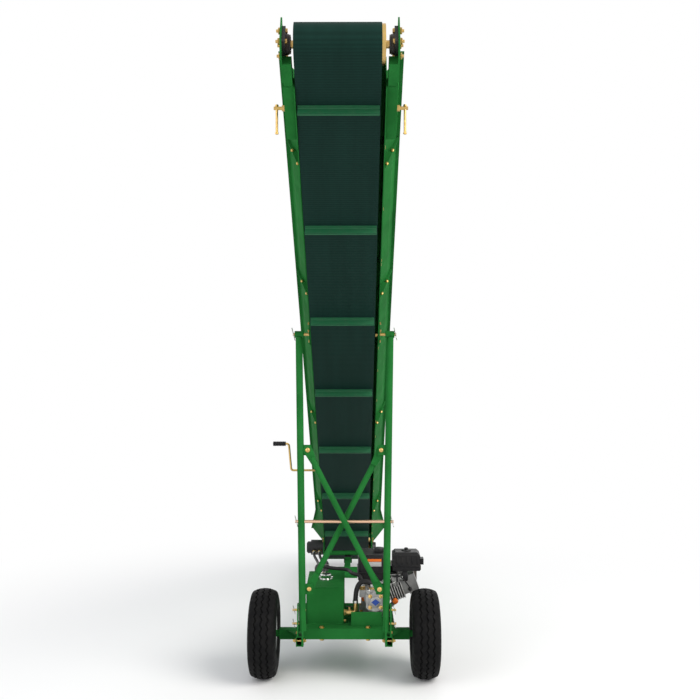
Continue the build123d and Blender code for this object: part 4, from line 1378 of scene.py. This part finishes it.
class CONVEYOR_OT_ends(bpy.types.Operator):
    """Bearings, drum ends, clamp handles and crank grip"""

    bl_idname = "conveyor.ends"
    bl_label = "Ends"

    def execute(self, context):
        inner = (EAR_MM - EAR_T) * MM
        hub = TAIL + X_AXIS * ((WEB_MM + 14) * MM)
        iron = [turned(hub, X_AXIS, [(44, 0), (42, 6), (39, 22), (34, 24.5)], 32)]
        grease = []
        rims = []
        knobs = []
        lever_low, lever_high = low("take_up_handles"), high("take_up_handles")
        for sign in (-1, 1):
            out = X_AXIS * sign
            housing = [(30, 0), (37, 6), (39, 16), (42, 19)]
            iron.append(turned(HEAD + out * (inner - 0.031), out, housing, 32))
            nipple = HEAD + out * (inner - 0.012) - ALONG * 0.047
            grease.append(turned(nipple, -ALONG, [(4, 0), (4, 6), (2.5, 8), (3.5, 11)], 10))
            disc = [(73.5, -3), (73.5, 1), (66, 1), (64, -1), (30, -1), (28, 3), (20, 3)]
            rims += [turned(drum + out * DRUM_FACE, out, disc, 40) for drum in (HEAD, TAIL)]
            for z in (lever_high.z - 0.002, lever_low.z + 0.002):
                at = Vector((sign * HANDLE_X, (lever_low.y + lever_high.y) / 2, z))
                knobs.append(turned(at, Z_AXIS, [(4.5, -4), (7, -2), (7, 3), (4, 5)], 14))
        piece("bearing_housings", iron, "iron", "conveyor")
        piece("grease_nipples", grease, "zinc", "conveyor")
        piece("drum_end_plates", rims, "zinc", "conveyor")
        piece("handle_ends", knobs, "zinc", "conveyor")
        start = middle("crank_grip")
        start.x = low("crank_grip").x
        length = (high("crank_grip").x - start.x) / MM
        profile = [(11, 0), (15.5, 3)]
        for k in range(GRIP_RIDGES):
            step = 8 + k * (length - 16) / (GRIP_RIDGES - 0.5)
            profile += [(15.8, step), (13.8, step + 3), (13.8, step + 5), (15.8, step + 8)]
        profile = [p for p in profile if p[1] < length - 3] + [(15.5, length - 3), (11, length)]
        grip = turned(start, X_AXIS, profile)
        ridged = piece("ridged_crank_grip", [grip], "plastic", "conveyor")
        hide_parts("crank_grip")
        return {"FINISHED"}


# Stage, lights and camera

FLOOR_HALF = 30
FLOOR_COLOUR = (0.88, 0.88, 0.88, 1.0)
FLOOR_NEAR = 0.8
FLOOR_FAR = 3.4
SKY_COLOUR = (0.95, 0.97, 1.0, 1.0)
SKY_STRENGTH = 0.7
WHITE = (1.0, 1.0, 1.0, 1.0)
LAMP_TARGET = Vector((0, 0, 1.2))
# (name, place, size, power, colour)
LAMPS = (
    ("key", (5.5, -4.5, 6.0), 6.0, 560, (1.0, 0.97, 0.92)),
    ("fill", (-5.0, -5.0, 3.5), 5.0, 150, (1.0, 1.0, 1.0)),
    ("back", (1.5, 6.0, 5.5), 3.0, 60, (1.0, 1.0, 1.0)),
)
SENSOR = 36.0
FOCAL_PX = 1000.0
IMAGE_PX = 700.0
CAMERA_SITE = (57.0, -5200.0, 1758.0)
HORIZON_PX = 340.0
CENTRE_PX = 355.5


def seen_rays(tree):
    """Output that is 1 where the camera sees the background, also in metal and through glass."""
    rays = tree.nodes.new("ShaderNodeLightPath")
    seen = rays.outputs["Is Camera Ray"]
    for label in ("Is Glossy Ray", "Is Transmission Ray"):
        either = tree.nodes.new("ShaderNodeMath")
        either.operation = "MAXIMUM"
        tree.links.new(seen, either.inputs[0])
        tree.links.new(rays.outputs[label], either.inputs[1])
        seen = either.outputs["Value"]
    return seen


def choose_shader(tree, factor, first, second, out):
    """Output of one shader or another by a factor output."""
    choose = tree.nodes.new("ShaderNodeMixShader")
    for socket, source in zip(choose.inputs, (factor, first, second)):
        tree.links.new(source, socket)
    tree.links.new(choose.outputs["Shader"], out.inputs["Surface"])


def pale_floor(name):
    """Plain floor that the camera sees fading to white between two distances from the machine."""
    finish, surface, coords = shader(name)
    tree = finish.node_tree
    surface.inputs["Base Color"].default_value = FLOOR_COLOUR
    surface.inputs["Roughness"].default_value = 0.9
    surface.inputs["Specular IOR Level"].default_value = 0.0
    reach = tree.nodes.new("ShaderNodeVectorMath")
    reach.operation = "LENGTH"
    tree.links.new(coords, reach.inputs[0])
    fade = tree.nodes.new("ShaderNodeMapRange")
    fade.interpolation_type = "SMOOTHSTEP"
    fade.inputs["From Min"].default_value = FLOOR_NEAR
    fade.inputs["From Max"].default_value = FLOOR_FAR
    tree.links.new(reach.outputs["Value"], fade.inputs["Value"])
    seen = tree.nodes.new("ShaderNodeMath")
    seen.operation = "MULTIPLY"
    tree.links.new(fade.outputs["Result"], seen.inputs[0])
    tree.links.new(seen_rays(tree), seen.inputs[1])
    white = tree.nodes.new("ShaderNodeEmission")
    out = next(n for n in tree.nodes if n.type == "OUTPUT_MATERIAL")
    choose_shader(tree, seen.outputs["Value"], surface.outputs["BSDF"], white.outputs["Emission"], out)
    return finish


def studio_world():
    """Soft sky that lights the machine, white where the camera sees it."""
    world = bpy.data.worlds.new("studio")
    world.use_nodes = True
    tree = world.node_tree
    sky = tree.nodes["Background"]
    sky.inputs["Color"].default_value = SKY_COLOUR
    sky.inputs["Strength"].default_value = SKY_STRENGTH
    white = tree.nodes.new("ShaderNodeBackground")
    white.inputs["Color"].default_value = WHITE
    skies = (node.outputs["Background"] for node in (sky, white))
    choose_shader(tree, seen_rays(tree), *skies, tree.nodes["World Output"])
    return world


def lamp(name, place, size, power, colour):
    """Soft area light aimed at the machine's middle."""
    light = bpy.data.lights.new(name, "AREA")
    light.shape = "DISK"
    light.size = size
    light.energy = power
    light.color = colour
    obj = bpy.data.objects.new(name, light)
    obj.matrix_world = aim(Vector(place), Vector(place) - LAMP_TARGET)
    bpy.context.scene.collection.objects.link(obj)


class CONVEYOR_OT_stage(bpy.types.Operator):
    """Pale floor, soft light and the camera"""

    bl_idname = "conveyor.stage"
    bl_label = "Stage"

    def execute(self, context):
        scene = context.scene
        bm = bmesh.new()
        bmesh.ops.create_grid(bm, x_segments=1, y_segments=1, size=FLOOR_HALF)
        mesh = bpy.data.meshes.new("floor")
        bm.to_mesh(mesh)
        bm.free()
        mesh.materials.append(pale_floor("pale_floor"))
        floor = bpy.data.objects.new("floor", mesh)
        scene.collection.objects.link(floor)
        scene.world = studio_world()
        for row in LAMPS:
            lamp(*row)
        camera = bpy.data.cameras.new("camera")
        camera.sensor_width = SENSOR
        camera.lens = FOCAL_PX / IMAGE_PX * SENSOR
        camera.clip_end = 200.0
        eye = bpy.data.objects.new("camera", camera)
        scene.collection.objects.link(eye)
        pitch = math.atan((IMAGE_PX / 2 - HORIZON_PX) / FOCAL_PX)
        yaw = math.atan((CENTRE_PX - IMAGE_PX / 2) / FOCAL_PX)
        eye.location = site(*CAMERA_SITE)
        eye.rotation_euler = (math.pi / 2 - pitch, 0, yaw)
        scene.camera = eye
        scene.view_settings.view_transform = "Standard"
        return {"FINISHED"}


class CONVEYOR_PT_panel(bpy.types.Panel):
    """Lists the steps in order, and the settings"""

    bl_label = "Conveyor"
    bl_idname = "CONVEYOR_PT_panel"
    bl_space_type = "VIEW_3D"
    bl_region_type = "UI"
    bl_category = "Conveyor"

    def draw(self, context):
        for step in STEPS:
            self.layout.operator(step.bl_idname)
        for name, settings in GROUPS:
            for label in settings.__annotations__:
                self.layout.prop(getattr(context.scene, name), label)


STEPS = (
    CONVEYOR_OT_finishes,
    CONVEYOR_OT_tyres,
    CONVEYOR_OT_fasteners,
    CONVEYOR_OT_welds,
    CONVEYOR_OT_cleats,
    CONVEYOR_OT_engine,
    CONVEYOR_OT_hydraulics,
    CONVEYOR_OT_hoses,
    CONVEYOR_OT_ends,
    CONVEYOR_OT_stage,
)
GROUPS = (
    ("conveyor_paint", PaintSettings),
    ("conveyor_tread", TreadSettings),
    ("conveyor_fasteners", FastenerSettings),
)


def register():
    for name, group in GROUPS:
        bpy.utils.register_class(group)
        setattr(bpy.types.Scene, name, bpy.props.PointerProperty(type=group))
    for step in STEPS:
        bpy.utils.register_class(step)
    bpy.utils.register_class(CONVEYOR_PT_panel)


def unregister():
    bpy.utils.unregister_class(CONVEYOR_PT_panel)
    for step in reversed(STEPS):
        bpy.utils.unregister_class(step)
    for name, group in reversed(GROUPS):
        delattr(bpy.types.Scene, name)
        bpy.utils.unregister_class(group)


def main():
    """Runs every step in order."""
    register()
    for step in STEPS:
        space, call = step.bl_idname.split(".")
        getattr(getattr(bpy.ops, space), call)()


if __name__ == "__main__":
    main()
